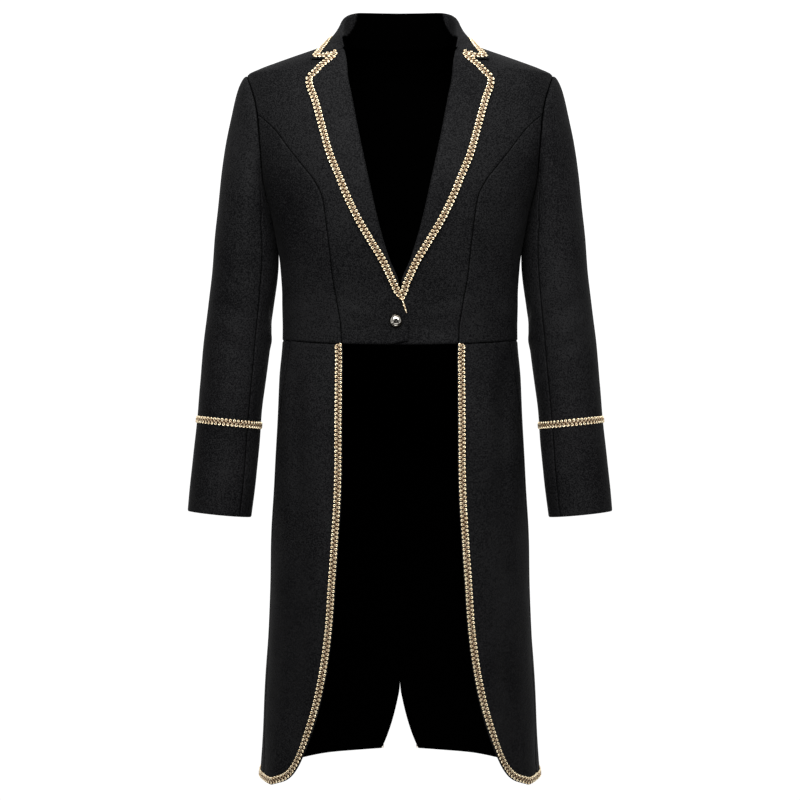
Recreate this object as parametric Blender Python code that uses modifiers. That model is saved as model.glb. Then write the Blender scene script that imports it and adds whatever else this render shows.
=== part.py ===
"""Tailcoat, worn and hollow: front bodice cut at the waist, curved tails, notched lapels, gold braid.

Sizes are in millimetres. The origin lies midway between the neck points, where the coat hangs on
the shoulders. +X is the wearer's left, -Y the front, +Z up. Every panel is made for the left side,
with its own x growing outward from the centre, and the right one is its mirror image.
"""

import math
from collections import namedtuple

import bpy
import numpy as np
from mathutils import Vector

MM = 0.001

# Cloth, seams and braid
CLOTH = 2.0
SEAM_GAP = 0.45
SLEEVE_GAP = 1.3
LAY_GAP = 0.5
LAPEL_GAP = 1.5
BRAID_WIDTH = 10.6
BRAID_THICK = 1.6
BRAID_CROWN = 0.7

# Heights
NECK_TOP = 30.0
SHOULDER_TIP = -27.0
UNDERARM = -200.0
WAIST_SIDE = -400.4
WAIST_DIP = 7.4
HEM_SIDE = -1014.5
HEM_BACK = -993.4

# Body form: half width, depth before and behind the ring's centre, and how square the ring is
Ring = namedtuple("Ring", "height half_width front back centre square")
BODY = (
    Ring(36.0, 80.0, 30.0, 44.0, 8.0, 2.2),
    Ring(30.0, 88.0, 39.0, 50.0, 8.0, 2.2),
    Ring(24.0, 96.0, 47.0, 56.0, 7.0, 2.2),
    Ring(15.5, 109.0, 58.0, 63.0, 7.0, 2.2),
    Ring(7.0, 130.0, 68.0, 70.0, 6.0, 2.2),
    Ring(-1.4, 154.0, 77.0, 77.0, 6.0, 2.2),
    Ring(-9.9, 177.0, 84.0, 84.0, 5.0, 2.25),
    Ring(-18.3, 199.0, 90.0, 90.0, 5.0, 2.3),
    Ring(-27.0, 215.0, 95.0, 96.0, 4.0, 2.35),
    Ring(-60.0, 218.0, 107.0, 107.0, 3.0, 2.45),
    Ring(-100.0, 216.0, 117.0, 114.0, 1.0, 2.5),
    Ring(-150.0, 205.0, 126.0, 118.0, 0.0, 2.5),
    Ring(-200.0, 189.0, 130.0, 117.0, 0.0, 2.45),
    Ring(-224.0, 181.2, 130.0, 114.0, 0.0, 2.4),
    Ring(-258.0, 174.1, 127.0, 109.0, 0.0, 2.35),
    Ring(-300.0, 168.2, 120.0, 101.0, 0.0, 2.3),
    Ring(-343.0, 165.7, 112.0, 96.0, 0.0, 2.25),
    Ring(-400.0, 165.7, 106.0, 95.0, 0.0, 2.2),
    Ring(-455.0, 169.9, 110.0, 106.0, 0.0, 2.2),
    Ring(-525.0, 173.4, 117.0, 121.0, 0.0, 2.2),
    Ring(-625.0, 178.4, 125.0, 137.0, 0.0, 2.2),
    Ring(-737.0, 182.6, 131.0, 147.0, 0.0, 2.2),
    Ring(-850.0, 188.2, 136.0, 153.0, 0.0, 2.2),
    Ring(-963.0, 193.9, 140.0, 158.0, 0.0, 2.2),
    Ring(-1020.0, 198.0, 142.0, 160.0, 0.0, 2.2),
)

# Vertical folds of the skirt: where each lies, how wide it is and how far it stands out at the hem
Fold = namedtuple("Fold", "angle spread rise")
SKIRT_FOLDS = (
    Fold(36.0, 7.0, 5.0),
    Fold(52.0, 7.0, -4.0),
    Fold(112.0, 9.0, 5.0),
    Fold(131.0, 8.0, -4.0),
    Fold(152.0, 9.0, 5.0),
)
FOLD_GROWTH = 0.8

# Edges and seams as the front shows them: distance from the centre line at each height
Edge = namedtuple("Edge", "height x")
NECKLINE_FRONT = (Edge(30.0, 80.0), Edge(20.0, 79.6), Edge(6.0, 77.5))
NECKLINE_BACK = (Edge(30.0, 80.0), Edge(28.0, 70.0), Edge(25.0, 52.0), Edge(22.0, 26.0), Edge(20.5, 0.0))
ROLL_LINE = (
    Edge(6.0, 77.5), Edge(-16.5, 73.2), Edge(-37.3, 71.2), Edge(-66.2, 65.4), Edge(-118.5, 55.6),
    Edge(-189.5, 40.9), Edge(-246.0, 28.0), Edge(-290.8, 14.4), Edge(-323.4, 1.5), Edge(-330.0, 0.9),
)
OVERLAP_EDGE = (
    Edge(-330.0, 0.9), Edge(-338.5, -0.7), Edge(-350.0, -4.6), Edge(-363.0, -9.0), Edge(-374.0, -11.5),
    Edge(-392.0, -11.7), Edge(-400.0, -10.5), Edge(-406.0, -6.0),
)
UNDERLAP_EDGE = (Edge(-330.0, 0.9), Edge(-345.0, -12.0), Edge(-360.0, -20.0), Edge(-406.0, -20.0))
PRINCESS = (
    Edge(-88.0, 197.0), Edge(-103.1, 180.6), Edge(-122.0, 164.9), Edge(-140.8, 150.7),
    Edge(-162.2, 133.9), Edge(-181.9, 118.6), Edge(-208.3, 106.2), Edge(-238.5, 102.0),
    Edge(-271.3, 97.9), Edge(-306.7, 93.9), Edge(-346.3, 87.2), Edge(-379.1, 81.8), Edge(-408.0, 80.5),
)
SKIRT_SEAM = (
    Edge(-401.0, 152.7), Edge(-450.1, 160.2), Edge(-483.6, 164.2), Edge(-643.3, 175.3),
    Edge(-946.6, 189.3), Edge(-1014.5, 191.0),
)
TAIL_EDGE = (
    Edge(-406.5, 79.6), Edge(-483.6, 79.5), Edge(-565.8, 79.3), Edge(-620.6, 80.6), Edge(-675.3, 84.0),
    Edge(-730.0, 87.6), Edge(-784.7, 90.7), Edge(-839.6, 96.7), Edge(-894.8, 106.1), Edge(-950.7, 122.0),
    Edge(-976.1, 133.5), Edge(-996.6, 147.8), Edge(-1009.0, 162.0), Edge(-1017.1, 179.6),
)
VENT_EDGE = (
    Edge(-401.0, 0.0), Edge(-895.0, 0.0), Edge(-906.3, 0.7), Edge(-922.4, 3.7), Edge(-951.7, 11.0),
    Edge(-981.0, 21.2), Edge(-993.4, 27.1),
)
LAPEL_EDGE = (
    Edge(-35.2, 130.4), Edge(-44.0, 130.2), Edge(-74.5, 120.6), Edge(-108.6, 111.4), Edge(-149.2, 100.0),
    Edge(-181.2, 86.8), Edge(-213.1, 73.6), Edge(-241.9, 59.2), Edge(-267.7, 44.2), Edge(-295.0, 28.0),
    Edge(-315.0, 18.5), Edge(-327.5, 12.5),
)
BODICE_SEAM_ANGLE = 96.0

# Armhole: an oval on the side of the body form, and the rows that follow it, in degrees from its top
ARMHOLE_FRONT = 62.0
ARMHOLE_BACK = 68.0
ARMHOLE_ROWS = (0, 18, 36, 54, 73, 90, 107, 122, 137, 151, 165, 180)
PRINCESS_ROW = 4

# Sleeve: rings square to the arm's line, from the underarm to the cuff
SleeveRing = namedtuple("SleeveRing", "height outer inner front back middle")
SLEEVE = (
    SleeveRing(-235.0, 45.0, 31.0, 60.0, 66.0, 3.0),
    SleeveRing(-265.0, 45.0, 39.0, 59.5, 63.0, 4.0),
    SleeveRing(-300.0, 45.0, 44.5, 59.0, 61.0, 6.0),
    SleeveRing(-365.0, 45.4, 45.0, 57.0, 59.0, 8.0),
    SleeveRing(-425.0, 46.2, 44.6, 55.0, 57.0, 6.0),
    SleeveRing(-485.0, 45.2, 43.8, 52.5, 54.0, -2.0),
    SleeveRing(-545.0, 44.0, 45.0, 50.0, 51.0, -12.0),
    SleeveRing(-643.0, 43.6, 44.2, 47.0, 47.0, -26.0),
)
SLEEVE_ROWS = (-235.0, -268.0, -305.0, -355.0, -405.0, -460.0, -509.7, -515.0, -520.3, -580.0, -643.0)
CUFF_BRAID_ROWS = (-509.7, -515.0, -520.3)
SLEEVE_LEAN = 5.64
SLEEVE_AXIS_X = 217.9
SLEEVE_AXIS_Z = -286.0
CAP_STEPS = (0.0, 0.1, 0.23, 0.39, 0.58, 0.8)
CAP_LEAVE = 0.30
SLEEVE_SEAM_TOP = 122.0
SLEEVE_SEAM_CUFF = 134.0
BACK_SEAM = -107.0

# Collar: fold line, stand seam and leaf edge from the centre back (0) to the front end (1)
CollarStep = namedtuple("CollarStep", "height fold_x fold_y fold_z seam_x seam_y seam_z leaf_x leaf_y leaf_z")
COLLAR = (
    CollarStep(0.00, 0.0, 71.0, 67.0, 0.0, 60.0, 17.0, 0.0, 77.0, 11.0),
    CollarStep(0.15, 30.0, 68.0, 67.0, 27.0, 57.0, 17.5, 36.0, 73.0, 11.5),
    CollarStep(0.30, 56.0, 57.0, 66.0, 50.0, 49.0, 18.5, 68.0, 59.0, 14.0),
    CollarStep(0.42, 71.0, 43.0, 62.0, 63.5, 39.0, 20.5, 86.0, 44.0, 17.0),
    CollarStep(0.54, 79.0, 26.0, 55.0, 71.0, 26.0, 23.0, 97.0, 26.0, 21.5),
    CollarStep(0.66, 82.5, 5.0, 45.0, 74.5, 6.0, 24.5, 102.0, 6.0, 23.8),
    CollarStep(0.78, 82.5, -18.0, 33.5, 75.0, -17.0, 20.5, 109.0, -18.0, 15.5),
    CollarStep(0.89, 80.5, -39.0, 23.0, 74.2, -35.0, 15.0, 118.5, -44.0, 2.5),
    CollarStep(1.00, 77.8, -55.0, 12.5, 74.0, -48.0, 8.0, 125.8, -60.0, -7.8),
)
COLLAR_STEPS = (0.0, 0.13, 0.26, 0.38, 0.50, 0.62, 0.73, 0.83, 0.93, 0.965, 1.0)
COLLAR_BORDER_STEP = 0.93
FOLD_RADIUS = 2.4
STAND_SHARES = (0.0, 0.5)
FOLD_ARC = (-75.0, -25.0, 25.0, 75.0)
LEAF_SHARES = (0.2, 0.45, 0.72)
NOTCH_DIP = 9.4
NOTCH_SHARE = 0.45
NOTCH_REACH = 0.22
NOTCH_BRAID_SHARE = 0.25

# Lapel
GORGE = Edge(4.0, 77.0)
LAPEL_END = -326.5
LAPEL_FACING = 8.0
LAPEL_ROWS = 17
LAPEL_PUFF = 1.6
ROLL_ARC = (-60.0, 0.0, 60.0)
ROLL_RADIUS = CLOTH + LAPEL_GAP
ROLL_REACH = ROLL_RADIUS + CLOTH / 2

# Lap of the right front over the left
LAP_DROP = CLOTH + 0.5
LAP_START = 16.0
LAP_END = 80.0
LAP_HIGH = -200.0
LAP_LOW = -290.0
LAP_STEP = (-328.0, -335.0)

# Button
BUTTON_X = 5.5
BUTTON_Z = -374.6
BUTTON_PROFILE = ((0.0, 7.2), (2.4, 6.9), (4.6, 6.0), (6.4, 4.6), (7.3, 3.4), (7.5, 2.9), (8.4, 2.8),
                  (8.8, 2.2), (8.6, 1.5), (7.0, 0.8), (3.0, 0.3), (0.0, 0.3))
BUTTON_SIDES = 24

# Grid counts
FRONT_COLUMNS = 7
SIDE_COLUMNS = 5
BACK_COLUMNS = 8
TAIL_COLUMNS = 6
TAIL_BACK_COLUMNS = 13
SHOULDER_ROWS = (30.0, 26.5, 23.0, 20.5, 13.0, 4.0, -6.0, -16.5)
BODICE_LEVELS = (-232.0, -264.0, -296.0, -328.0, -335.0, -368.0, WAIST_SIDE)
TAIL_ROWS = 14
DENSE = 49
RIGHT, LEFT = -1, 1
SIDES = ((RIGHT, "right"), (LEFT, "left"))


def curve_slopes(position, value):
    """Slopes of a curve through the points that never overshoots them (harmonic means)."""
    step = np.diff(position)
    rate = np.diff(value) / step
    slopes = np.empty_like(value)
    slopes[0], slopes[-1] = rate[0], rate[-1]
    before, after = rate[:-1], rate[1:]
    weight_before = 2 * step[1:] + step[:-1]
    weight_after = step[1:] + 2 * step[:-1]
    same_way = before * after > 0
    safe_before = np.where(same_way, before, 1.0)
    safe_after = np.where(same_way, after, 1.0)
    mean = (weight_before + weight_after) / (weight_before / safe_before + weight_after / safe_after)
    slopes[1:-1] = np.where(same_way, mean, 0.0)
    return slopes


def read(table, column, at):
    """Smooth curve through one column of a table, read at heights or steps."""
    rows = sorted(table, key=lambda row: row.height)
    position = np.array([row.height for row in rows])
    value = np.array([getattr(row, column) for row in rows])
    slopes = curve_slopes(position, value)
    at = np.clip(np.asarray(at, dtype=float), position[0], position[-1])
    k = np.clip(np.searchsorted(position, at) - 1, 0, len(rows) - 2)
    span = position[k + 1] - position[k]
    t = (at - position[k]) / span
    return ((1 + 2 * t) * (1 - t) ** 2 * value[k] + t * t * (3 - 2 * t) * value[k + 1]
            + span * (t * (1 - t) ** 2 * slopes[k] - t * t * (1 - t) * slopes[k + 1]))


def smoothstep(start, end, value):
    """Rises from 0 at start to 1 at end, level at both."""
    t = np.clip((np.asarray(value, dtype=float) - start) / (end - start), 0.0, 1.0)
    return t * t * (3 - 2 * t)


def waist(angle):
    """Height of the waist seam: level at the side and back, lower at the front."""
    front = np.clip(np.cos(np.radians(angle)), 0.0, 1.0)
    return WAIST_SIDE - WAIST_DIP * front ** 2


def fold_rise(angle, height):
    """How far the skirt's folds stand out of the form."""
    depth = np.clip((WAIST_SIDE - height) / (WAIST_SIDE - HEM_SIDE), 0.0, 1.0) ** FOLD_GROWTH
    total = np.zeros(np.broadcast(angle, height).shape)
    for fold in SKIRT_FOLDS:
        total = total + fold.rise * np.exp(-((angle - fold.angle) / fold.spread) ** 2)
    return total * depth


def ring_point(angle, height):
    """Point of the body form. Angle 0 is the front centre, 90 the side and 180 the back centre."""
    angle, height = np.broadcast_arrays(np.asarray(angle, float), np.asarray(height, float))
    side, ahead = np.sin(np.radians(angle)), np.cos(np.radians(angle))
    power = 2 / read(BODY, "square", height)
    x = read(BODY, "half_width", height) * np.sign(side) * np.abs(side) ** power
    depth = np.where(ahead >= 0, -read(BODY, "front", height), read(BODY, "back", height))
    y = depth * np.abs(ahead) ** power
    out = fold_rise(angle, height) / np.maximum(np.hypot(x, y), 1.0)
    return np.stack([x * (1 + out), y * (1 + out) + read(BODY, "centre", height), height], axis=-1)


def skin(angle, height, lift=0.0):
    """Point of the body form moved out along its normal by the lift."""
    turn, rise = 0.4, 0.5
    angle, height = np.broadcast_arrays(np.asarray(angle, float), np.asarray(height, float))
    along = ring_point(angle + turn, height) - ring_point(angle - turn, height)
    up = ring_point(angle, height + rise) - ring_point(angle, height - rise)
    normal = np.cross(along, up)
    normal = normal / np.linalg.norm(normal, axis=-1, keepdims=True)
    return ring_point(angle, height) + normal * np.broadcast_to(lift, angle.shape)[..., None]


def front_angle(x, height):
    """Angle of the form's front point at a distance x from the centre line."""
    share = np.clip(np.abs(x) / read(BODY, "half_width", height), 0.0, 1.0)
    return np.degrees(np.arcsin(share ** (read(BODY, "square", height) / 2))) * np.sign(x)


def depth_angle(distance, reach, height):
    """Angle between the ring's centre line and a point that lies a distance ahead of its centre."""
    share = np.clip(distance / reach, 0.0, 1.0)
    return np.degrees(np.arccos(share ** (read(BODY, "square", height) / 2)))


def armhole_height(turn):
    """Height of the armhole at a turn in degrees from its top."""
    middle, half = (SHOULDER_TIP + UNDERARM) / 2, (SHOULDER_TIP - UNDERARM) / 2
    return middle + half * np.cos(np.radians(turn))


def armhole_angle(turn):
    """Body angle of the armhole: a positive turn runs down its front, a negative one down its back."""
    height = armhole_height(turn)
    across = np.abs(np.sin(np.radians(turn)))
    before = depth_angle(ARMHOLE_FRONT * across, read(BODY, "front", height), height)
    behind = 180 - depth_angle(ARMHOLE_BACK * across, read(BODY, "back", height), height)
    return np.where(np.asarray(turn) >= 0, before, behind)


def spread(angle_in, angle_out, z_in, z_out, distances_in=(0.0,), count=4):
    """Angles and heights of rows of points between two edges.

    Each row starts with the given distances along the surface and goes on in equal steps.
    """
    s = np.linspace(0.0, 1.0, DENSE)
    angle_in, angle_out, z_in, z_out = np.broadcast_arrays(angle_in, angle_out, z_in, z_out)
    dense_angle = angle_in[:, None] + (angle_out - angle_in)[:, None] * s
    dense_z = z_in[:, None] + (z_out - z_in)[:, None] * s
    points = ring_point(dense_angle, dense_z)
    steps = np.linalg.norm(np.diff(points, axis=1), axis=2)
    length = np.concatenate([np.zeros((len(points), 1)), np.cumsum(steps, axis=1)], axis=1)
    angles, heights = [], []
    for row in range(len(points)):
        total = length[row, -1]
        fixed = np.minimum(distances_in, total * np.linspace(0.0, 0.6, len(distances_in)).clip(0.01)
                           if total < 2 * distances_in[-1] else distances_in)
        fixed[0] = 0.0
        rest = np.linspace(fixed[-1], total, count + 1)[1:]
        at = np.interp(np.concatenate([fixed, rest]), length[row], s)
        angles.append(np.interp(at, s, dense_angle[row]))
        heights.append(np.interp(at, s, dense_z[row]))
    return np.array(angles), np.array(heights)


def pull_in(points, amount, edges="tblr"):
    """Move the grid's edges towards its inside: t top, b bottom, l first column, r last column."""
    points = points.copy()
    pairs = {"t": (np.s_[0, :], np.s_[1, :]), "b": (np.s_[-1, :], np.s_[-2, :]),
             "l": (np.s_[:, 0], np.s_[:, 1]), "r": (np.s_[:, -1], np.s_[:, -2])}
    for edge in edges:
        outer, inner = pairs[edge]
        way = points[inner] - points[outer]
        points[outer] += way / np.linalg.norm(way, axis=-1, keepdims=True) * amount
    return points


def grid_normals(points):
    """Outward normals of a grid whose rows run down and whose columns run from front to back."""
    across = np.gradient(points, axis=1)
    down = np.gradient(points, axis=0)
    normal = np.cross(down, across)
    return normal / np.linalg.norm(normal, axis=-1, keepdims=True)


def make_material(name, colour, roughness, metallic):
    """One Principled material."""
    material = bpy.data.materials.new(name)
    material.use_nodes = True
    shader = material.node_tree.nodes["Principled BSDF"]
    shader.inputs["Base Color"].default_value = (*colour, 1.0)
    shader.inputs["Roughness"].default_value = roughness
    shader.inputs["Metallic"].default_value = metallic
    return material


def link_object(name, mesh, look):
    """Put a mesh in the coat's collection with a material of its own."""
    piece = bpy.data.objects.new(name, mesh)
    mesh.materials.append(make_material(name + "_finish", *look))
    coat.objects.link(piece)
    return piece


def make_sheet(name, points, side, look, thickness=CLOTH, closed=False, keep=None):
    """Wall of even thickness about a grid of points; the right side is the mirror image.

    A closed grid joins its last column to its first. A mask may keep only some of the cells.
    """
    rows, columns = points.shape[:2]
    flat = points.reshape(-1, 3) * np.array([side, 1, 1]) * MM
    spans = columns if closed else columns - 1
    i, j = np.meshgrid(np.arange(rows - 1), np.arange(spans), indexing="ij")
    if keep is not None:
        i, j = i[keep], j[keep]
    i, j = i.ravel(), j.ravel()
    across = (j + 1) % columns
    quads = np.stack([i * columns + j, (i + 1) * columns + j, (i + 1) * columns + across,
                      i * columns + across], axis=1)
    if side == RIGHT:
        quads = quads[:, ::-1]
    used, index = np.unique(quads, return_inverse=True)
    mesh = bpy.data.meshes.new(name)
    mesh.from_pydata(flat[used].tolist(), [], index.reshape(quads.shape).tolist())
    mesh.shade_smooth()
    piece = link_object(name, mesh, look)
    wall = piece.modifiers.new("wall", "SOLIDIFY")
    wall.thickness = thickness * MM
    wall.offset = 0.0
    wall.use_even_offset = True
    return piece


def braid_sheet(name, points, side, keep, crown, base=CLOTH / 2, closed=False):
    """Braid made from a panel's own points, moved out and crowned along its middle."""
    lift = base + LAY_GAP + BRAID_THICK / 2 + BRAID_CROWN * crown
    raised = points + grid_normals(points) * lift[..., None]
    return make_sheet(name, raised, side, BRAID, BRAID_THICK, closed, keep)


def bodice_rows():
    """Row heights from the neck to the underarm, and the number of shoulder rows among them."""
    armhole = armhole_height(np.array(ARMHOLE_ROWS, float))
    return np.concatenate([SHOULDER_ROWS, armhole]), len(SHOULDER_ROWS)


def add_waist_rows(angles, heights, angle_in, angle_out, count):
    """Carry a bodice panel on from the underarm row to the waist seam."""
    level = np.array(BODICE_LEVELS)
    start = heights[-1, 0]
    share = (level - start) / (WAIST_SIDE - start)
    low_angles, _ = spread(angle_in(level), angle_out(level), level, level, count=count)
    low_heights = start + (waist(low_angles) - start) * share[:, None]
    return np.vstack([angles, low_angles]), np.vstack([heights, low_heights])


def own_front_edge(side):
    """Table of the front panel's free edge below the lapel."""
    return OVERLAP_EDGE if side == RIGHT else UNDERLAP_EDGE


def front_edge_x(side, height):
    """Front panel's inner edge: neckline, roll line inside the lapel's turn, then the lap."""
    neck = read(NECKLINE_FRONT, "x", height) + ROLL_REACH
    roll = read(ROLL_LINE, "x", height) + ROLL_REACH
    lap = read(own_front_edge(side), "x", height)
    below = smoothstep(*LAP_STEP, height)
    upper = np.where(height > GORGE.height, neck, roll)
    return upper * (1 - below) + lap * below


def lap_drop(side, angle, height):
    """How far the left front lies under the right one near the centre."""
    if side == RIGHT:
        return np.zeros(np.broadcast(angle, height).shape)
    x = ring_point(angle, height)[..., 0]
    near = 1 - smoothstep(LAP_START, LAP_END, x)
    return -LAP_DROP * near * smoothstep(LAP_HIGH, LAP_LOW, height)


def outer_front_angle(height, turn):
    """Outer edge of the front panel: shoulder seam, armhole, then princess seam."""
    princess = front_angle(read(PRINCESS, "x", height), height)
    edge = np.where(np.isnan(turn), 90.0, np.minimum(armhole_angle(np.nan_to_num(turn)), 90.0))
    return np.where(height <= PRINCESS[0].height, np.minimum(princess, edge), edge)


def make_front(side, name):
    """Centre front from the shoulder seam to the waist."""
    rows, shoulder = bodice_rows()
    turn = np.concatenate([np.full(shoulder, np.nan), ARMHOLE_ROWS])
    inner = front_angle(front_edge_x(side, rows), rows)
    outer = outer_front_angle(rows, turn)
    angles, heights = spread(inner, outer, rows, rows, count=FRONT_COLUMNS)

    def edge_in(z):
        return front_angle(front_edge_x(side, z), z)

    def edge_out(z):
        return front_angle(read(PRINCESS, "x", z), z)

    angles, heights = add_waist_rows(angles, heights, edge_in, edge_out, FRONT_COLUMNS)
    lift = lap_drop(side, angles, heights) - CLOTH / 2
    points = pull_in(skin(angles, heights, lift), SEAM_GAP / 2)
    return make_sheet("front_" + name, points, side, SUITING)


def make_side_front(side, name):
    """Side front from the armhole to the waist, between princess seam and side seam."""
    turn = np.array(ARMHOLE_ROWS[PRINCESS_ROW:], float)
    rows = armhole_height(turn)
    princess = front_angle(read(PRINCESS, "x", rows), rows)
    outer = armhole_angle(turn)
    outer[-1] = BODICE_SEAM_ANGLE
    angles, heights = spread(princess, outer, rows, rows, count=SIDE_COLUMNS)

    def edge_in(z):
        return front_angle(read(PRINCESS, "x", z), z)

    def edge_out(z):
        return np.full_like(z, BODICE_SEAM_ANGLE)

    angles, heights = add_waist_rows(angles, heights, edge_in, edge_out, SIDE_COLUMNS)
    points = pull_in(skin(angles, heights, -CLOTH / 2), SEAM_GAP / 2)
    return make_sheet("side_front_" + name, points, side, SUITING)


def make_back(side, name):
    """Back from the shoulder seam to the waist, with a centre-back seam."""
    rows, shoulder = bodice_rows()
    turn = np.concatenate([np.zeros(shoulder), -np.array(ARMHOLE_ROWS, float)])
    outer = np.where(np.arange(len(rows)) < shoulder, 90.0, armhole_angle(turn))
    outer[shoulder] = 90.0
    outer[-1] = BODICE_SEAM_ANGLE
    neck = 180.0 - front_angle(read(NECKLINE_BACK, "x", rows), rows)
    angles, heights = spread(outer, neck, rows, rows, count=BACK_COLUMNS)

    def edge_in(z):
        return np.full_like(z, BODICE_SEAM_ANGLE)

    def edge_out(z):
        return np.full_like(z, 180.0)

    angles, heights = add_waist_rows(angles, heights, edge_in, edge_out, BACK_COLUMNS)
    points = pull_in(skin(angles, heights, -CLOTH / 2), SEAM_GAP / 2)
    return make_sheet("back_" + name, points, side, SUITING)


def along_edge(table, shares):
    """Points of an edge at shares of its length."""
    heights = np.linspace(table[0].height, table[-1].height, 8 * DENSE)
    x = read(table, "x", heights)
    length = np.concatenate([[0.0], np.cumsum(np.hypot(np.diff(x), np.diff(heights)))])
    at = np.asarray(shares) * length[-1]
    return np.interp(at, length, x), np.interp(at, length, heights)


def tail_shares():
    """Row shares down a tail, with the last two rows a braid's half width apart."""
    reach = WAIST_SIDE - HEM_SIDE
    border = 1 - BRAID_WIDTH / reach
    return np.concatenate([np.linspace(0.0, border, TAIL_ROWS), [(1 + border) / 2, 1.0]])


def follow_waist(angles, heights, shares):
    """Let a tail's upper rows follow the waist seam."""
    ends = waist(angles[:, [0, -1]])
    along = (angles - angles[:, :1]) / (angles[:, -1:] - angles[:, :1])
    straight = ends[:, :1] + (ends[:, 1:] - ends[:, :1]) * along
    return heights + (waist(angles) - straight) * ((1 - shares) ** 2)[:, None]


def tail_front_grid():
    """Grid of the front tail: its first columns and last rows bound the braid."""
    shares = tail_shares()
    x_in, z_in = along_edge(TAIL_EDGE, shares)
    x_out, z_out = along_edge(SKIRT_SEAM, shares)
    angle_in, angle_out = front_angle(x_in, z_in), front_angle(x_out, z_out)
    z_in = z_in + (waist(angle_in) - z_in) * (shares == 0)
    z_out = z_out + (waist(angle_out) - z_out) * (shares == 0)
    borders = np.array([0.0, BRAID_WIDTH / 2, BRAID_WIDTH])
    angles, heights = spread(angle_in, angle_out, z_in, z_out, borders, TAIL_COLUMNS)
    return skin(angles, follow_waist(angles, heights, shares), -CLOTH / 2)


def tail_back_grid():
    """Grid of the back tail from the side seam to the centre back, its last rows bound the braid."""
    shares = tail_shares()
    x_in, z_in = along_edge(SKIRT_SEAM, shares)
    x_out, z_out = along_edge(VENT_EDGE, shares)
    angle_in, angle_out = front_angle(x_in, z_in), 180.0 - front_angle(x_out, z_out)
    z_in = z_in + (waist(angle_in) - z_in) * (shares == 0)
    z_out = z_out + (waist(angle_out) - z_out) * (shares == 0)
    angles, heights = spread(angle_in, angle_out, z_in, z_out, count=TAIL_BACK_COLUMNS)
    return skin(angles, follow_waist(angles, heights, shares), -CLOTH / 2)


def make_tails(side, name):
    """Front and back tail with the braid along the front edge and the hem."""
    front = pull_in(tail_front_grid(), SEAM_GAP / 2)
    make_sheet("tail_front_" + name, front, side, SUITING)
    rows, columns = front.shape[0] - 1, front.shape[1] - 1
    keep = np.zeros((rows, columns), bool)
    keep[:, :2] = True
    keep[-2:, :] = True
    crown = np.zeros(front.shape[:2])
    crown[:-1, 1] = 1.0
    crown[-2, 1:] = 1.0
    braid_sheet("trim_tail_" + name, front, side, keep, crown)

    back = pull_in(tail_back_grid(), SEAM_GAP / 2)
    make_sheet("tail_back_" + name, back, side, SUITING)
    keep = np.zeros((back.shape[0] - 1, back.shape[1] - 1), bool)
    keep[-2:, :] = True
    crown = np.zeros(back.shape[:2])
    crown[-2, :] = 1.0
    braid_sheet("trim_hem_" + name, back, side, keep, crown)


def sleeve_turns():
    """Turns round the sleeve that match the armhole's rows: top, front, underarm, back."""
    front = np.array(ARMHOLE_ROWS, float)
    return np.concatenate([front, -front[-2:0:-1]])


def turned(turns, share):
    """Turns of the front half shifted so that the front seam drifts inward down the sleeve."""
    seam = SLEEVE_SEAM_TOP + (SLEEVE_SEAM_CUFF - SLEEVE_SEAM_TOP) * share
    before = turns * seam / SLEEVE_SEAM_TOP
    after = 180 - (180 - turns) * (180 - seam) / (180 - SLEEVE_SEAM_TOP)
    shifted = np.where(turns <= SLEEVE_SEAM_TOP, before, after)
    return np.where(turns > 0, shifted, turns)


def sleeve_ring(height, turns):
    """Ring of the sleeve square to its leaning axis."""
    lean = math.radians(SLEEVE_LEAN)
    out = np.array([math.cos(lean), 0.0, math.sin(lean)])
    centre = np.array([SLEEVE_AXIS_X + (SLEEVE_AXIS_Z - height) * math.tan(lean),
                       read(SLEEVE, "middle", height), height])
    side, ahead = np.cos(np.radians(turns)), np.sin(np.radians(turns))
    width = np.where(side >= 0, read(SLEEVE, "outer", height), read(SLEEVE, "inner", height)) * side
    depth = np.where(ahead >= 0, -read(SLEEVE, "front", height), read(SLEEVE, "back", height))
    points = centre + width[:, None] * out
    points[:, 1] += depth * np.abs(ahead)
    return points


def sleeve_grid():
    """Rings from the armhole over the cap to the cuff."""
    turns = sleeve_turns()
    length = SLEEVE_ROWS[0] - SLEEVE_ROWS[-1]
    rings = [sleeve_ring(z, turned(turns, (SLEEVE_ROWS[0] - z) / length)) for z in SLEEVE_ROWS]
    start = skin(armhole_angle(turns), armhole_height(turns), -CLOTH / 2)
    start[:, 0] += CLOTH / 2 + SEAM_GAP
    end = rings[0]
    reach = np.linalg.norm(end - start, axis=1)[:, None]
    lean = math.radians(SLEEVE_LEAN)
    leave = np.array([1.0, 0.0, 0.0]) * reach * CAP_LEAVE
    arrive = np.array([math.sin(lean), 0.0, -math.cos(lean)]) * reach
    cap = []
    for t in CAP_STEPS:
        cap.append(start * (1 + 2 * t) * (1 - t) ** 2 + end * t * t * (3 - 2 * t)
                   + leave * t * (1 - t) ** 2 - arrive * t * t * (1 - t))
    return np.array(cap + rings)


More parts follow.
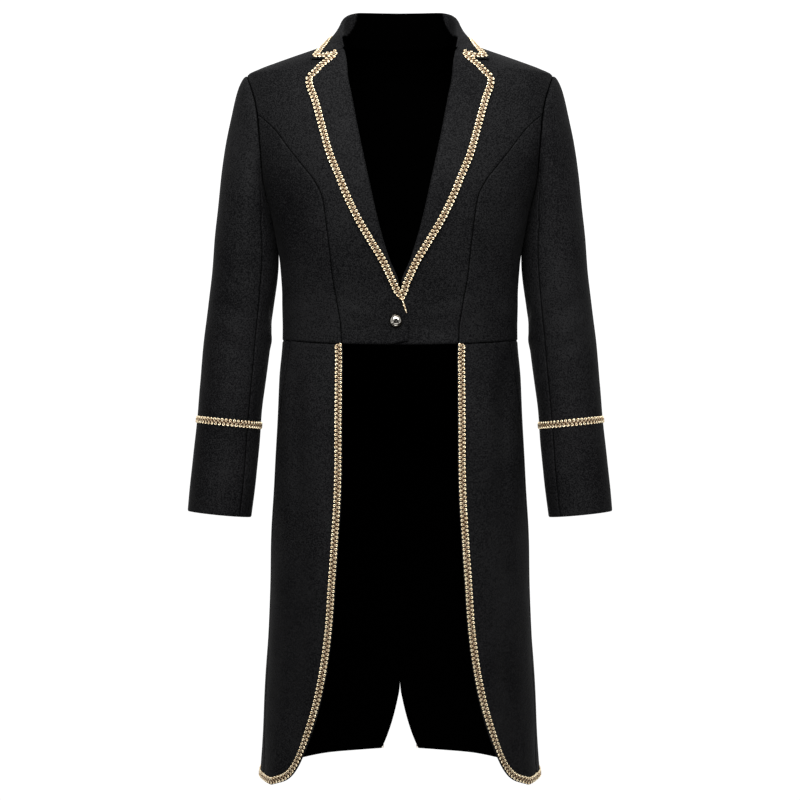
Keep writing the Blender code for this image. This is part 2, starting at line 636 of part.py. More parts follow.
def make_sleeves(side, name):
    """Top and under sleeve split at the front and back seams, and the braid round the cuff."""
    points = sleeve_grid()[:, ::-1]
    turns = sleeve_turns()[::-1]
    front_seam = int(np.argmin(np.abs(turns - SLEEVE_SEAM_TOP)))
    back_seam = int(np.argmin(np.abs(turns - BACK_SEAM)))
    around = len(turns)
    top = [(front_seam + k) % around for k in range((back_seam - front_seam) % around + 1)]
    under = [(back_seam + k) % around for k in range((front_seam - back_seam) % around + 1)]
    make_sheet("top_sleeve_" + name, pull_in(points[:, top], SLEEVE_GAP / 2, "lr"), side, SUITING)
    make_sheet("under_sleeve_" + name, pull_in(points[:, under], SLEEVE_GAP / 2, "lr"), side, SUITING)
    first = len(CAP_STEPS) + SLEEVE_ROWS.index(CUFF_BRAID_ROWS[0])
    band = points[first:first + len(CUFF_BRAID_ROWS)]
    wrapped = np.concatenate([band[:, -1:], band, band[:, :1]], axis=1)
    crown = np.zeros(band.shape[:2])
    crown[1] = 1.0
    lift = CLOTH / 2 + LAY_GAP + BRAID_THICK / 2 + BRAID_CROWN * crown
    raised = band + grid_normals(wrapped)[:, 1:-1] * lift[..., None]
    make_sheet("trim_cuff_" + name, raised, side, BRAID, BRAID_THICK, True)


def lapel_grid(side):
    """Lapel from its facing inside the front, round the roll, to its outer edge.

    The last three columns bound the braid down the edge, the first three rows that on the top.
    """
    shares = np.linspace(0.0, 1.0, LAPEL_ROWS)
    top = np.array([0.0, 0.018, 0.036])
    shares = np.concatenate([top, shares[shares > top[-1] + 0.01]])
    z_roll = GORGE.height + (LAPEL_END - GORGE.height) * shares
    x_roll = read(ROLL_LINE, "x", z_roll)
    z_edge = LAPEL_EDGE[0].height + (LAPEL_END - LAPEL_EDGE[0].height) * shares
    x_edge = read(LAPEL_EDGE, "x", z_edge)

    def lay(x, z, lift):
        angle = front_angle(x, z)
        return skin(angle, z, lap_drop(side, angle, z) + lift)

    columns = []
    turn_x = x_roll + ROLL_REACH
    for reach in (LAPEL_FACING, 0.0):
        columns.append(lay(turn_x + reach, z_roll, -CLOTH / 2 - ROLL_RADIUS))
    for arc in ROLL_ARC:
        turn = math.radians(arc)
        columns.append(lay(turn_x - ROLL_RADIUS * math.cos(turn), z_roll,
                           -CLOTH / 2 + ROLL_RADIUS * math.sin(turn)))
    rise = -CLOTH / 2 + ROLL_RADIUS
    width = np.hypot(x_edge - turn_x, z_edge - z_roll)
    border = np.clip(1 - BRAID_WIDTH / width, 0.12, 1.0)
    for share in (0.0, 0.22, 0.5, 0.78):
        s = share * border
        puff = LAPEL_PUFF * math.sin(math.pi * share) * smoothstep(0.12, 0.5, border)
        columns.append(lay(turn_x + (x_edge - turn_x) * s, z_roll + (z_edge - z_roll) * s, rise + puff))
    for s in (border, (border + 1) / 2, np.ones_like(border)):
        columns.append(lay(turn_x + (x_edge - turn_x) * s, z_roll + (z_edge - z_roll) * s, rise))
    return np.stack(columns, axis=1)


def make_lapel(side, name):
    """Lapel with the braid along its top and outer edges."""
    points = lapel_grid(side)
    make_sheet("lapel_" + name, points, side, SUITING)
    rows, columns = points.shape[0] - 1, points.shape[1] - 1
    keep = np.zeros((rows, columns), bool)
    keep[:, -2:] = True
    keep[:2, 6:] = True
    crown = np.zeros(points.shape[:2])
    crown[1:, -2] = 1.0
    crown[1, 6:-1] = 1.0
    braid_sheet("trim_lapel_" + name, points, side, keep, crown)


def clear_of_body(points, clearance):
    """Push points ahead of or behind the body form so that they stay outside it."""
    x, y, z = points[..., 0], points[..., 1], points[..., 2]
    low = z - clearance
    share = np.clip((np.abs(x) - clearance) / read(BODY, "half_width", low), 0.0, 1.0)
    power = read(BODY, "square", low)
    reach = (1 - share ** power) ** (1 / power)
    centre = read(BODY, "centre", low)
    ahead = centre - read(BODY, "front", low) * reach - clearance
    behind = centre + read(BODY, "back", low) * reach + clearance
    inside = (share < 1.0) & (low < BODY[0].height)
    limited = np.where(y < centre, np.minimum(y, ahead), np.maximum(y, behind))
    result = points.copy()
    result[..., 1] = np.where(inside, limited, y)
    return result


def collar_grid():
    """Collar from the stand seam over the fold to the leaf's edge, from one front end to the other."""
    steps = np.array(COLLAR_STEPS)
    fold, seam, leaf = (np.stack([read(COLLAR, part + axis, steps) for axis in ("_x", "_y", "_z")], axis=1)
                        for part in ("fold", "seam", "leaf"))
    out = leaf - fold
    out[:, 2] = 0.0
    out = out / np.linalg.norm(out, axis=1, keepdims=True)
    up = np.array([0.0, 0.0, 1.0])
    crest = fold - up * FOLD_RADIUS
    columns = []
    stand_top = crest - out * FOLD_RADIUS
    for share in STAND_SHARES:
        columns.append(seam + (stand_top - seam) * share)
    for arc in FOLD_ARC:
        turn = math.radians(arc)
        columns.append(crest + out * FOLD_RADIUS * math.sin(turn) + up * FOLD_RADIUS * math.cos(turn))
    leaf_top = crest + out * FOLD_RADIUS
    length = np.linalg.norm(leaf - leaf_top, axis=1)
    border = 1 - BRAID_WIDTH / length
    shares = [border * share for share in LEAF_SHARES]
    shares += [border, (border + 1) / 2, np.ones_like(border)]
    near_end = smoothstep(1 - NOTCH_REACH, 1.0, steps)
    for share in shares:
        point = leaf_top + (leaf - leaf_top) * share[:, None]
        dip = np.where(share < NOTCH_SHARE, share / NOTCH_SHARE, (1 - share) / (1 - NOTCH_SHARE))
        point[:, 2] -= NOTCH_DIP * dip * near_end
        columns.append(clear_of_body(point, CLOTH / 2 + LAY_GAP + 0.5))
    half = np.stack(columns, axis=1)
    mirrored = half[:0:-1] * np.array([-1, 1, 1])
    return np.concatenate([mirrored, half])


def make_collar():
    """Collar and the braid along its leaf's edge and ends."""
    points = collar_grid()[::-1].swapaxes(0, 1)
    make_sheet("collar", points, LEFT, SUITING)
    rows, columns = points.shape[0] - 1, points.shape[1] - 1
    keep = np.zeros((rows, columns), bool)
    keep[-2:, :] = True
    end_rows = len(STAND_SHARES) + len(FOLD_ARC) + 1
    keep[end_rows:, :2] = True
    keep[end_rows:, -2:] = True
    crown = np.zeros(points.shape[:2])
    crown[-2, 1:-1] = 1.0
    crown[end_rows:-1, 1] = 1.0
    crown[end_rows:-1, -2] = 1.0
    braid_sheet("trim_collar", points, LEFT, keep, crown)


def make_button():
    """Domed shank button, turned round its axis, on the right front."""
    mesh = bpy.data.meshes.new("button")
    profile = [(radius * MM, 0.0, height * MM) for radius, height in BUTTON_PROFILE]
    mesh.from_pydata(profile, [(k, k + 1) for k in range(len(profile) - 1)], [])
    piece = link_object("button", mesh, METAL)
    turn = piece.modifiers.new("turn", "SCREW")
    turn.steps = turn.render_steps = BUTTON_SIDES
    turn.use_merge_vertices = True
    turn.merge_threshold = 0.00001
    turn.use_smooth_shade = True
    angle = front_angle(BUTTON_X, BUTTON_Z)
    seat = skin(angle, BUTTON_Z) * np.array([RIGHT, 1, 1])
    top = skin(angle, BUTTON_Z, 1.0) * np.array([RIGHT, 1, 1])
    piece.location = Vector(seat) * MM
    piece.rotation_mode = "QUATERNION"
    piece.rotation_quaternion = Vector(top - seat).to_track_quat("Z", "Y")


SUITING = ((0.016, 0.016, 0.018), 0.85, 0.0)
BRAID = ((0.80, 0.62, 0.34), 0.38, 0.7)
METAL = ((0.78, 0.74, 0.66), 0.2, 1.0)

for old in list(bpy.data.objects):
    bpy.data.objects.remove(old, do_unlink=True)
coat = bpy.data.collections.new("tailcoat")
bpy.context.scene.collection.children.link(coat)

for side_sign, side_name in SIDES:
    make_front(side_sign, side_name)
    make_side_front(side_sign, side_name)
    make_back(side_sign, side_name)
    make_tails(side_sign, side_name)
    make_sleeves(side_sign, side_name)
    make_lapel(side_sign, side_name)
make_collar()
make_button()
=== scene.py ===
import logging
import math
from dataclasses import dataclass
from enum import Enum
from typing import Callable, ClassVar, NamedTuple, Sequence

import bpy
import numpy as np
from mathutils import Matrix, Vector


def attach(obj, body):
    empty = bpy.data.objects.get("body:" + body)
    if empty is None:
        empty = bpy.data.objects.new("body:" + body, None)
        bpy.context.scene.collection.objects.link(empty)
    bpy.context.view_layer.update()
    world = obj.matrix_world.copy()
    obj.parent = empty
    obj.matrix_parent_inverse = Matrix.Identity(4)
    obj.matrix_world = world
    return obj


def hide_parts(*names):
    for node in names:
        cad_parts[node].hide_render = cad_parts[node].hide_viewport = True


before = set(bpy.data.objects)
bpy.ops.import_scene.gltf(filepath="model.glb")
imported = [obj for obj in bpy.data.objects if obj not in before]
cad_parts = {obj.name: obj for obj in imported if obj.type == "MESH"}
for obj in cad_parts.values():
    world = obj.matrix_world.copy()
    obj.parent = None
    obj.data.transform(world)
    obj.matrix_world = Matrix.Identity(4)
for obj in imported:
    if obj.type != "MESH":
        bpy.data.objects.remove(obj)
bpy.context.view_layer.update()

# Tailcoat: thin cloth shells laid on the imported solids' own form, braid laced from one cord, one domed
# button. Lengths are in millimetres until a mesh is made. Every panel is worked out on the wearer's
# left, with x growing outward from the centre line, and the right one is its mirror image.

LOG = logging.getLogger("tailcoat")
MM = 0.001
WALL = 1.7
SOLID_WALL = 2.0
MIRROR = np.array([-1.0, 1.0, 1.0])
OUTWARD, UPWARD = np.array([1.0, 0.0, 0.0]), np.array([0.0, 0.0, 1.0])
SHORTEST, SAME_PLACE, LEAST_SQUARE = 1e-9, 1e-6, 0.5
CROSSING_STEPS = 6
Array = np.ndarray
Span = tuple[float, float]


class Side(Enum):
    """Wearer's side: the sign of its x."""

    RIGHT = -1
    LEFT = 1

    @property
    def word(self) -> str:
        """The side's word in piece names."""
        return self.name.lower()


class Border(Enum):
    """How a panel ends at an edge: how deep and how wide the cloth turns down there."""

    SEAM = (1.3, 1.5)
    ARMHOLE = (1.5, 2.2)
    FREE = (0.7, 1.1)
    HIDDEN = (0.0, 1.0)


class Ring(NamedTuple):
    """Body form at one height: half width, depth before and behind its centre, squareness."""

    height: float
    half_width: float
    front: float
    back: float
    centre: float
    square: float


class Fold(NamedTuple):
    """Vertical fold of the skirt: its angle, spread and rise at the hem."""

    angle: float
    spread: float
    rise: float


class Edge(NamedTuple):
    """Distance of an edge from the centre line at one height."""

    height: float
    x: float


class SleeveRing(NamedTuple):
    """Sleeve at one height: reach outward, inward, forward and back, and the middle's depth."""

    height: float
    outer: float
    inner: float
    front: float
    back: float
    middle: float


class CollarStep(NamedTuple):
    """Collar at a step from its centre back (0) to its front end (1): fold, seam and leaf edge."""

    height: float
    fold_x: float
    fold_y: float
    fold_z: float
    seam_x: float
    seam_y: float
    seam_z: float
    leaf_x: float
    leaf_y: float
    leaf_z: float


class BraidStep(NamedTuple):
    """Braid past the lapel's end: height, x, lift from the front and turn (1 faces sideways)."""

    height: float
    x: float
    lift: float
    turn: float


class Crease(NamedTuple):
    """Soft ridge, or trough where its rise is below 0, from one point of a form to another."""

    turn_a: float
    height_a: float
    turn_b: float
    height_b: float
    rise: float
    width: float


class Drape(NamedTuple):
    """A cloth's unevenness: its creases, and the rise and the random seed of its broad swells."""

    creases: Sequence[Crease]
    rise: float
    seed: int


def table(kind: type[NamedTuple], *rows: Sequence[float]) -> tuple[NamedTuple, ...]:
    """Rows of one kind, their numbers as floats."""
    return tuple(kind(*map(float, row)) for row in rows)


BODY = table(
    Ring,
    (28, 74, 30, 42, 8, 2.2), (23.5, 83, 38, 49, 8, 2.2), (18.5, 96, 49, 57, 7, 2.2),
    (14.5, 109, 58, 63, 7, 2.2), (7, 130, 68, 70, 6, 2.2), (-1.4, 154, 77, 77, 6, 2.2),
    (-9.9, 177, 84, 84, 5, 2.25), (-18.3, 199, 90, 90, 5, 2.3), (-27, 215, 95, 96, 4, 2.35),
    (-60, 218, 107, 107, 3, 2.45), (-100, 216, 117, 114, 1, 2.5), (-150, 205, 126, 118, 0, 2.5),
    (-200, 189, 130, 117, 0, 2.45), (-224, 181.2, 130, 114, 0, 2.4), (-258, 174.1, 127, 109, 0, 2.35),
    (-300, 168.2, 120, 101, 0, 2.3), (-343, 165.7, 112, 96, 0, 2.25), (-400, 165.7, 106, 95, 0, 2.2),
    (-455, 169.9, 110, 106, 0, 2.2), (-525, 173.4, 117, 121, 0, 2.2), (-625, 178.4, 125, 137, 0, 2.2),
    (-737, 182.6, 131, 147, 0, 2.2), (-850, 188.2, 136, 153, 0, 2.2), (-963, 193.9, 140, 158, 0, 2.2),
    (-1020, 198, 142, 160, 0, 2.2),
)
SKIRT_FOLDS = table(Fold, (36, 7, 5), (52, 7, -4), (112, 9, 5), (131, 8, -4), (152, 9, 5))
NECKLINE_FRONT = table(Edge, (24, 79.8), (18, 79.4), (6, 77.5))
NECKLINE_BACK = table(Edge, (24, 80), (22.5, 70), (21, 48), (19.8, 25), (18.8, 0))
ROLL_LINE = table(
    Edge,
    (6, 77.5), (-16.5, 73.2), (-37.3, 71.2), (-66.2, 65.4), (-118.5, 55.6), (-189.5, 40.9), (-246, 28),
    (-290.8, 14.4), (-323.4, 1.5), (-330, 0.9),
)
OVERLAP_EDGE = table(
    Edge,
    (-330, 0.9), (-338.5, -0.7), (-350, -4.6), (-363, -9), (-374, -11.5), (-392, -11.7), (-400, -10.5),
    (-406, -6),
)
UNDERLAP_EDGE = table(Edge, (-330, 0.9), (-345, -12), (-360, -20), (-406, -20))
PRINCESS = table(
    Edge,
    (-88, 197), (-103.1, 180.6), (-122, 164.9), (-140.8, 150.7), (-162.2, 133.9), (-181.9, 118.6),
    (-208.3, 106.2), (-238.5, 102), (-271.3, 97.9), (-306.7, 93.9), (-346.3, 87.2), (-379.1, 81.8),
    (-408, 80.5),
)
SKIRT_SEAM = table(
    Edge,
    (-401, 152.7), (-450.1, 160.2), (-483.6, 164.2), (-643.3, 175.3), (-946.6, 189.3), (-1014.5, 191),
)
TAIL_EDGE = table(
    Edge,
    (-406.5, 79.6), (-483.6, 79.5), (-565.8, 79.3), (-620.6, 80.6), (-675.3, 84), (-730, 87.6),
    (-784.7, 90.7), (-839.6, 96.7), (-894.8, 106.1), (-950.7, 122), (-976.1, 133.5), (-996.6, 147.8),
    (-1009, 162), (-1017.1, 179.6),
)
VENT_EDGE = table(
    Edge,
    (-401, 0), (-895, 0), (-906.3, 0.7), (-922.4, 3.7), (-951.7, 11), (-981, 21.2), (-993.4, 27.1),
)
LAPEL_EDGE = table(
    Edge,
    (-37.5, 128.8), (-46, 129.2), (-74.5, 120.6), (-108.6, 111.4), (-149.2, 100), (-181.2, 86.8),
    (-213.1, 73.6), (-241.9, 59.2), (-267.7, 44.2), (-295, 28), (-315, 18.5), (-327.5, 12.5),
)
SLEEVE = table(
    SleeveRing,
    (-235, 45, 36.5, 60, 66, 3), (-265, 45, 44, 59.5, 63, 4), (-300, 45, 46.6, 59, 61, 6),
    (-365, 45.4, 45, 57, 59, 8), (-425, 46.2, 44.6, 55, 57, 6), (-485, 45.2, 43.8, 52.5, 54, -2),
    (-545, 44, 45, 50, 51, -12), (-643, 43.6, 44.2, 47, 47, -26),
)
COLLAR = table(
    CollarStep,
    (0, 0, 71, 70, 0, 60, 15, 0, 77, 11), (0.15, 30, 68, 70, 27, 57, 15.5, 36, 73, 11.5),
    (0.3, 56, 57, 69, 50, 49, 16, 68, 59, 13.5), (0.42, 71, 43, 64.5, 63.5, 39, 17, 84, 44, 16.5),
    (0.54, 79, 26, 56, 71, 26, 18.5, 94, 26, 20), (0.66, 82, 5, 45, 74.5, 6, 19.5, 101, 6, 20.6),
    (0.78, 82, -18, 33, 75, -17, 16.5, 108.5, -22, 13.5),
    (0.89, 80.3, -40, 20.5, 74.2, -36, 11.5, 117, -46, 1),
    (1, 77.6, -58, 7.6, 74, -51, 4.2, 125, -62, -10.2),
)
# Edge of the collar stand's black inner back: a lining, blackened further as painted shade, behind a line
# that climbs from the gorge.
STAND_LINING_SHADE = table(Edge, (14, 86), (21.2, 82.5), (31.5, 75.5), (40.1, 70.5), (52.2, 64.8), (66, 61.4))
LAP_BRAID = {
    Side.RIGHT: table(
        BraidStep,
        (-332, 4.9, 2.8, 0), (-337, 2.6, 2, 0.2), (-342, -0.2, 1.2, 0.6), (-347, -2.4, 0.5, 0.9),
        (-352, -4, 0.1, 1), (-358, -5.8, -0.2, 1), (-364, -7.6, -0.4, 1),
    ),
    Side.LEFT: table(
        BraidStep,
        (-332, 6.6, 2.4, 0), (-337, 4.4, 1.4, 0), (-342, 2, 0.5, 0), (-346, 0, 0.3, 0),
    ),
}
NOTCH_TURN = table(Edge, (-3.4, 91.4), (-6.6, 90.4), (-9.6, 91.9))
BODY_DRAPE = Drape(table(
    Crease,
    (5, -371, 24, -361, 1.3, 5), (4, -379, 22, -391, -1, 5), (12, -352, 34, -338, -0.8, 7),
    (58, -190, 44, -262, -1.7, 10), (70, -226, 58, -300, 1.5, 11), (40, -60, 52, -140, -1.8, 17),
    (24, -90, 33, -170, 1.8, 20), (60, -330, 82, -352, -1.4, 8), (44, -352, 74, -374, 1.2, 8),
    (128, -120, 146, -190, -2.4, 12), (118, -205, 138, -270, 2, 12), (150, -322, 112, -346, -1.8, 8),
    (160, -352, 122, -372, 1.5, 8), (168, -42, 146, -66, -1.2, 10),
), 0.35, 3)
SKIRT_DRAPE = Drape(table(
    Crease,
    (48, -425, 40, -560, 2.4, 17), (57, -430, 52, -640, -2.6, 15), (42, -600, 50, -820, 2, 20),
    (60, -700, 66, -960, -2.2, 18), (74, -460, 82, -760, 2.2, 20), (98, -450, 104, -900, -2.8, 20),
    (122, -520, 120, -860, -2.4, 18), (140, -440, 144, -760, 2.2, 18), (160, -620, 163, -960, -2.4, 18),
), 0.5, 7)
SLEEVE_DRAPE = Drape(table(
    Crease,
    (25, -95, 64, -150, -1.7, 12), (70, -150, 98, -250, 1.6, 13), (40, -342, 108, -368, -2.3, 9),
    (30, -368, 100, -394, 2.1, 9), (62, -402, 112, -418, -1.8, 8), (8, -455, 60, -476, -1.9, 9),
    (20, -492, 72, -500, 1.3, 7), (60, -560, 96, -610, -1.1, 11), (150, -350, 190, -372, -2.4, 8),
    (140, -380, 196, -402, 2.2, 8), (250, -300, 300, -360, -1.8, 12), (262, -400, 320, -430, 1.7, 11),
    (232, -140, 286, -220, -2, 14),
), 0.4, 11)


def curve_slopes(position: Array, value: Array) -> Array:
    """Slopes of a curve through points that never overshoots them.

    Args:
        position: Where the points lie, rising.
        value: Their values.

    Returns:
        One slope for each point, the weighted harmonic mean of its two neighbours' rates.
    """
    step = np.diff(position)
    rate = np.diff(value) / step
    slopes = np.empty_like(value)
    slopes[0], slopes[-1] = rate[0], rate[-1]
    before, after = rate[:-1], rate[1:]
    weight_before = 2 * step[1:] + step[:-1]
    weight_after = step[1:] + 2 * step[:-1]
    same_way = before * after > 0
    safe_before = np.where(same_way, before, 1.0)
    safe_after = np.where(same_way, after, 1.0)
    mean = (weight_before + weight_after) / (weight_before / safe_before + weight_after / safe_after)
    slopes[1:-1] = np.where(same_way, mean, 0.0)
    return slopes


def cubic(t: Array, start: Array, end: Array, leave: Array, arrive: Array) -> Array:
    """Cubic from start to end over t from 0 to 1, leaving and arriving at the given rates."""
    return (start * (1 + 2 * t) * (1 - t) ** 2 + end * t * t * (3 - 2 * t)
            + leave * t * (1 - t) ** 2 - arrive * t * t * (1 - t))


def columns_of(rows: Sequence[NamedTuple], *names: str) -> list[Array]:
    """Columns of a table."""
    return [np.array([getattr(row, name) for row in rows]) for name in names]


def read(rows: Sequence[NamedTuple], column: str, at: Array) -> Array:
    """Smooth curve through one column of a table.

    Args:
        rows: Rows with a height and the column.
        column: The column's name.
        at: Heights or steps to read at.

    Returns:
        The curve's values there.
    """
    position, value = columns_of(sorted(rows, key=lambda row: row.height), "height", column)
    slopes = curve_slopes(position, value)
    at = np.clip(np.asarray(at, dtype=float), position[0], position[-1])
    k = np.clip(np.searchsorted(position, at) - 1, 0, len(rows) - 2)
    span = position[k + 1] - position[k]
    return cubic((at - position[k]) / span, value[k], value[k + 1], span * slopes[k], span * slopes[k + 1])


def smoothstep(start: float, end: float, value: Array) -> Array:
    """Rise from 0 at start to 1 at end, level at both."""
    t = np.clip((np.asarray(value, dtype=float) - start) / (end - start), 0.0, 1.0)
    return t * t * (3 - 2 * t)


def finer(values: Sequence[float], times: int) -> Array:
    """The values with each step split into so many equal ones."""
    known = np.arange(len(values))
    return np.interp(np.linspace(0, known[-1], known[-1] * times + 1), known, values)


def unit(vectors: Array) -> Array:
    """Vectors scaled to length 1."""
    return vectors / np.maximum(np.linalg.norm(vectors, axis=-1, keepdims=True), SHORTEST)


def distances(points: Array, axis: int = 0) -> Array:
    """Distance of each point from its line's first one, the lines running along an axis."""
    steps = np.linalg.norm(np.diff(points, axis=axis), axis=-1)
    return np.concatenate([np.zeros_like(steps.take([0], axis)), np.cumsum(steps, axis=axis)], axis=axis)


def grid_normals(points: Array) -> Array:
    """Outward normals of a grid whose rows run down and whose columns run from front to back."""
    return unit(np.cross(np.gradient(points, axis=0), np.gradient(points, axis=1)))


def crossing(row_of: Array, column_of: Array, row: float) -> tuple[float, float]:
    """Where a line that has a row for each column meets one that has a column for each row.

    Args:
        row_of: The first line's row at each column.
        column_of: The second line's column at each row.
        row: A row near the crossing.

    Returns:
        The crossing's row and column.
    """
    column = 0.0
    for _ in range(CROSSING_STEPS):
        column = float(np.interp(row, np.arange(len(column_of)), column_of))
        row = float(np.interp(column, np.arange(len(row_of)), row_of))
    return row, column


def graded(total: float, count: int, fine: Sequence[float] = (0.0, 0.6, 1.3, 2.2, 3.4, 5.0)) -> Array:
    """Positions across a width: close together at both edges and even between.

    Args:
        total: The width.
        count: Steps between the two close parts.
        fine: Distances of the close positions from an edge.

    Returns:
        Rising positions from 0 to the width.
    """
    near = np.array(fine) * min(1.0, total / (4 * fine[-1]))
    middle = np.linspace(near[-1], total - near[-1], count + 1)[1:-1]
    return np.concatenate([near, middle, (total - near)[::-1]])


@dataclass(frozen=True)
class Form:
    """The worn form that every panel lies on. Its normals are taken over a probe's width."""

    shoulder_tip: float = -27.0
    underarm: float = -200.0
    waist_side: float = -400.4
    waist_dip: float = 7.4
    hem_side: float = -1014.5
    fold_growth: float = 0.8
    armhole_front: float = 62.0
    armhole_back: float = 68.0
    probe: float = 0.4
    row_samples: int = 181

    def waist(self, angle: Array) -> Array:
        """Height of the waist seam: level at the side and back, lower at the front."""
        return self.waist_side - self.waist_dip * np.clip(np.cos(np.radians(angle)), 0.0, 1.0) ** 2

    def fold_rise(self, angle: Array, height: Array) -> Array:
        """How far the skirt's folds stand out of the form."""
        share = (self.waist_side - height) / (self.waist_side - self.hem_side)
        depth = np.clip(share, 0.0, 1.0) ** self.fold_growth
        total = np.zeros(np.broadcast(angle, height).shape)
        for fold in SKIRT_FOLDS:
            total = total + fold.rise * np.exp(-((angle - fold.angle) / fold.spread) ** 2)
        return total * depth

    def point(self, angle: Array, height: Array) -> Array:
        """Point of the form: angle 0 is the front centre, 90 the side and 180 the back centre."""
        angle, height = np.broadcast_arrays(np.asarray(angle, float), np.asarray(height, float))
        side, ahead = np.sin(np.radians(angle)), np.cos(np.radians(angle))
        power = 2 / read(BODY, "square", height)
        x = read(BODY, "half_width", height) * np.sign(side) * np.abs(side) ** power
        depth = np.where(ahead >= 0, -read(BODY, "front", height), read(BODY, "back", height))
        y = depth * np.abs(ahead) ** power
        out = self.fold_rise(angle, height) / np.maximum(np.hypot(x, y), 1.0)
        return np.stack([x * (1 + out), y * (1 + out) + read(BODY, "centre", height), height], axis=-1)

    def skin(self, angle: Array, height: Array, lift: Array = 0.0) -> Array:
        """Point of the form moved out along its normal by the lift."""
        angle, height = np.broadcast_arrays(np.asarray(angle, float), np.asarray(height, float))
        along = self.point(angle + self.probe, height) - self.point(angle - self.probe, height)
        up = self.point(angle, height + self.probe) - self.point(angle, height - self.probe)
        lift = np.broadcast_to(lift, angle.shape)[..., None]
        return self.point(angle, height) + unit(np.cross(along, up)) * lift

    def wall(self, angle: Array, height: Array, lift: Array = 0.0) -> "Grid":
        """Cloth wall whose outer face lies on the form at a lift."""
        return Grid(self.skin(angle, height, lift), self.skin(angle, height, lift - WALL))

    def front_angle(self, x: Array, height: Array) -> Array:
        """Angle of the form's front point at a distance x from the centre line."""
        share = np.clip(np.abs(x) / read(BODY, "half_width", height), 0.0, 1.0)
        return np.degrees(np.arcsin(share ** (read(BODY, "square", height) / 2))) * np.sign(x)

    def depth_angle(self, distance: Array, column: str, height: Array) -> Array:
        """Angle from the ring's centre line to a point that lies a distance ahead of, or behind, it."""
        share = np.clip(distance / read(BODY, column, height), 0.0, 1.0)
        return np.degrees(np.arccos(share ** (read(BODY, "square", height) / 2)))

    def armhole_height(self, turn: Array) -> Array:
        """Height of the armhole at a turn in degrees from its top."""
        middle, half = (self.shoulder_tip + self.underarm) / 2, (self.shoulder_tip - self.underarm) / 2
        return middle + half * np.cos(np.radians(turn))

    def armhole_angle(self, turn: Array) -> Array:
        """Body angle of the armhole: a positive turn runs down its front, a negative one its back."""
        height = self.armhole_height(turn)
        across = np.abs(np.sin(np.radians(turn)))
        before = self.depth_angle(self.armhole_front * across, "front", height)
        behind = 180 - self.depth_angle(self.armhole_back * across, "back", height)
        return np.where(np.asarray(turn) >= 0, before, behind)

    def rows_between(self, angle_in: Array, angle_out: Array, z_in: Array, z_out: Array,
                     count: int) -> tuple[Array, Array]:
        """Rows of points between two edges, close together at both.

        Args:
            angle_in: Angle of each row's first point.
            angle_out: Angle of each row's last point.
            z_in: Height of each row's first point.
            z_out: Height of each row's last point.
            count: Steps between the close parts.

        Returns:
            The angles and heights, a row for each row.
        """
        share = np.linspace(0.0, 1.0, self.row_samples)
        angle_in, angle_out, z_in, z_out = np.broadcast_arrays(angle_in, angle_out, z_in, z_out)
        angle = angle_in[:, None] + (angle_out - angle_in)[:, None] * share
        height = z_in[:, None] + (z_out - z_in)[:, None] * share
        length = distances(self.point(angle, height), 1)
        at = np.array([np.interp(graded(row[-1], count), row, share) for row in length])
        return (angle_in[:, None] + (angle_out - angle_in)[:, None] * at,
                z_in[:, None] + (z_out - z_in)[:, None] * at)


FORM = Form()


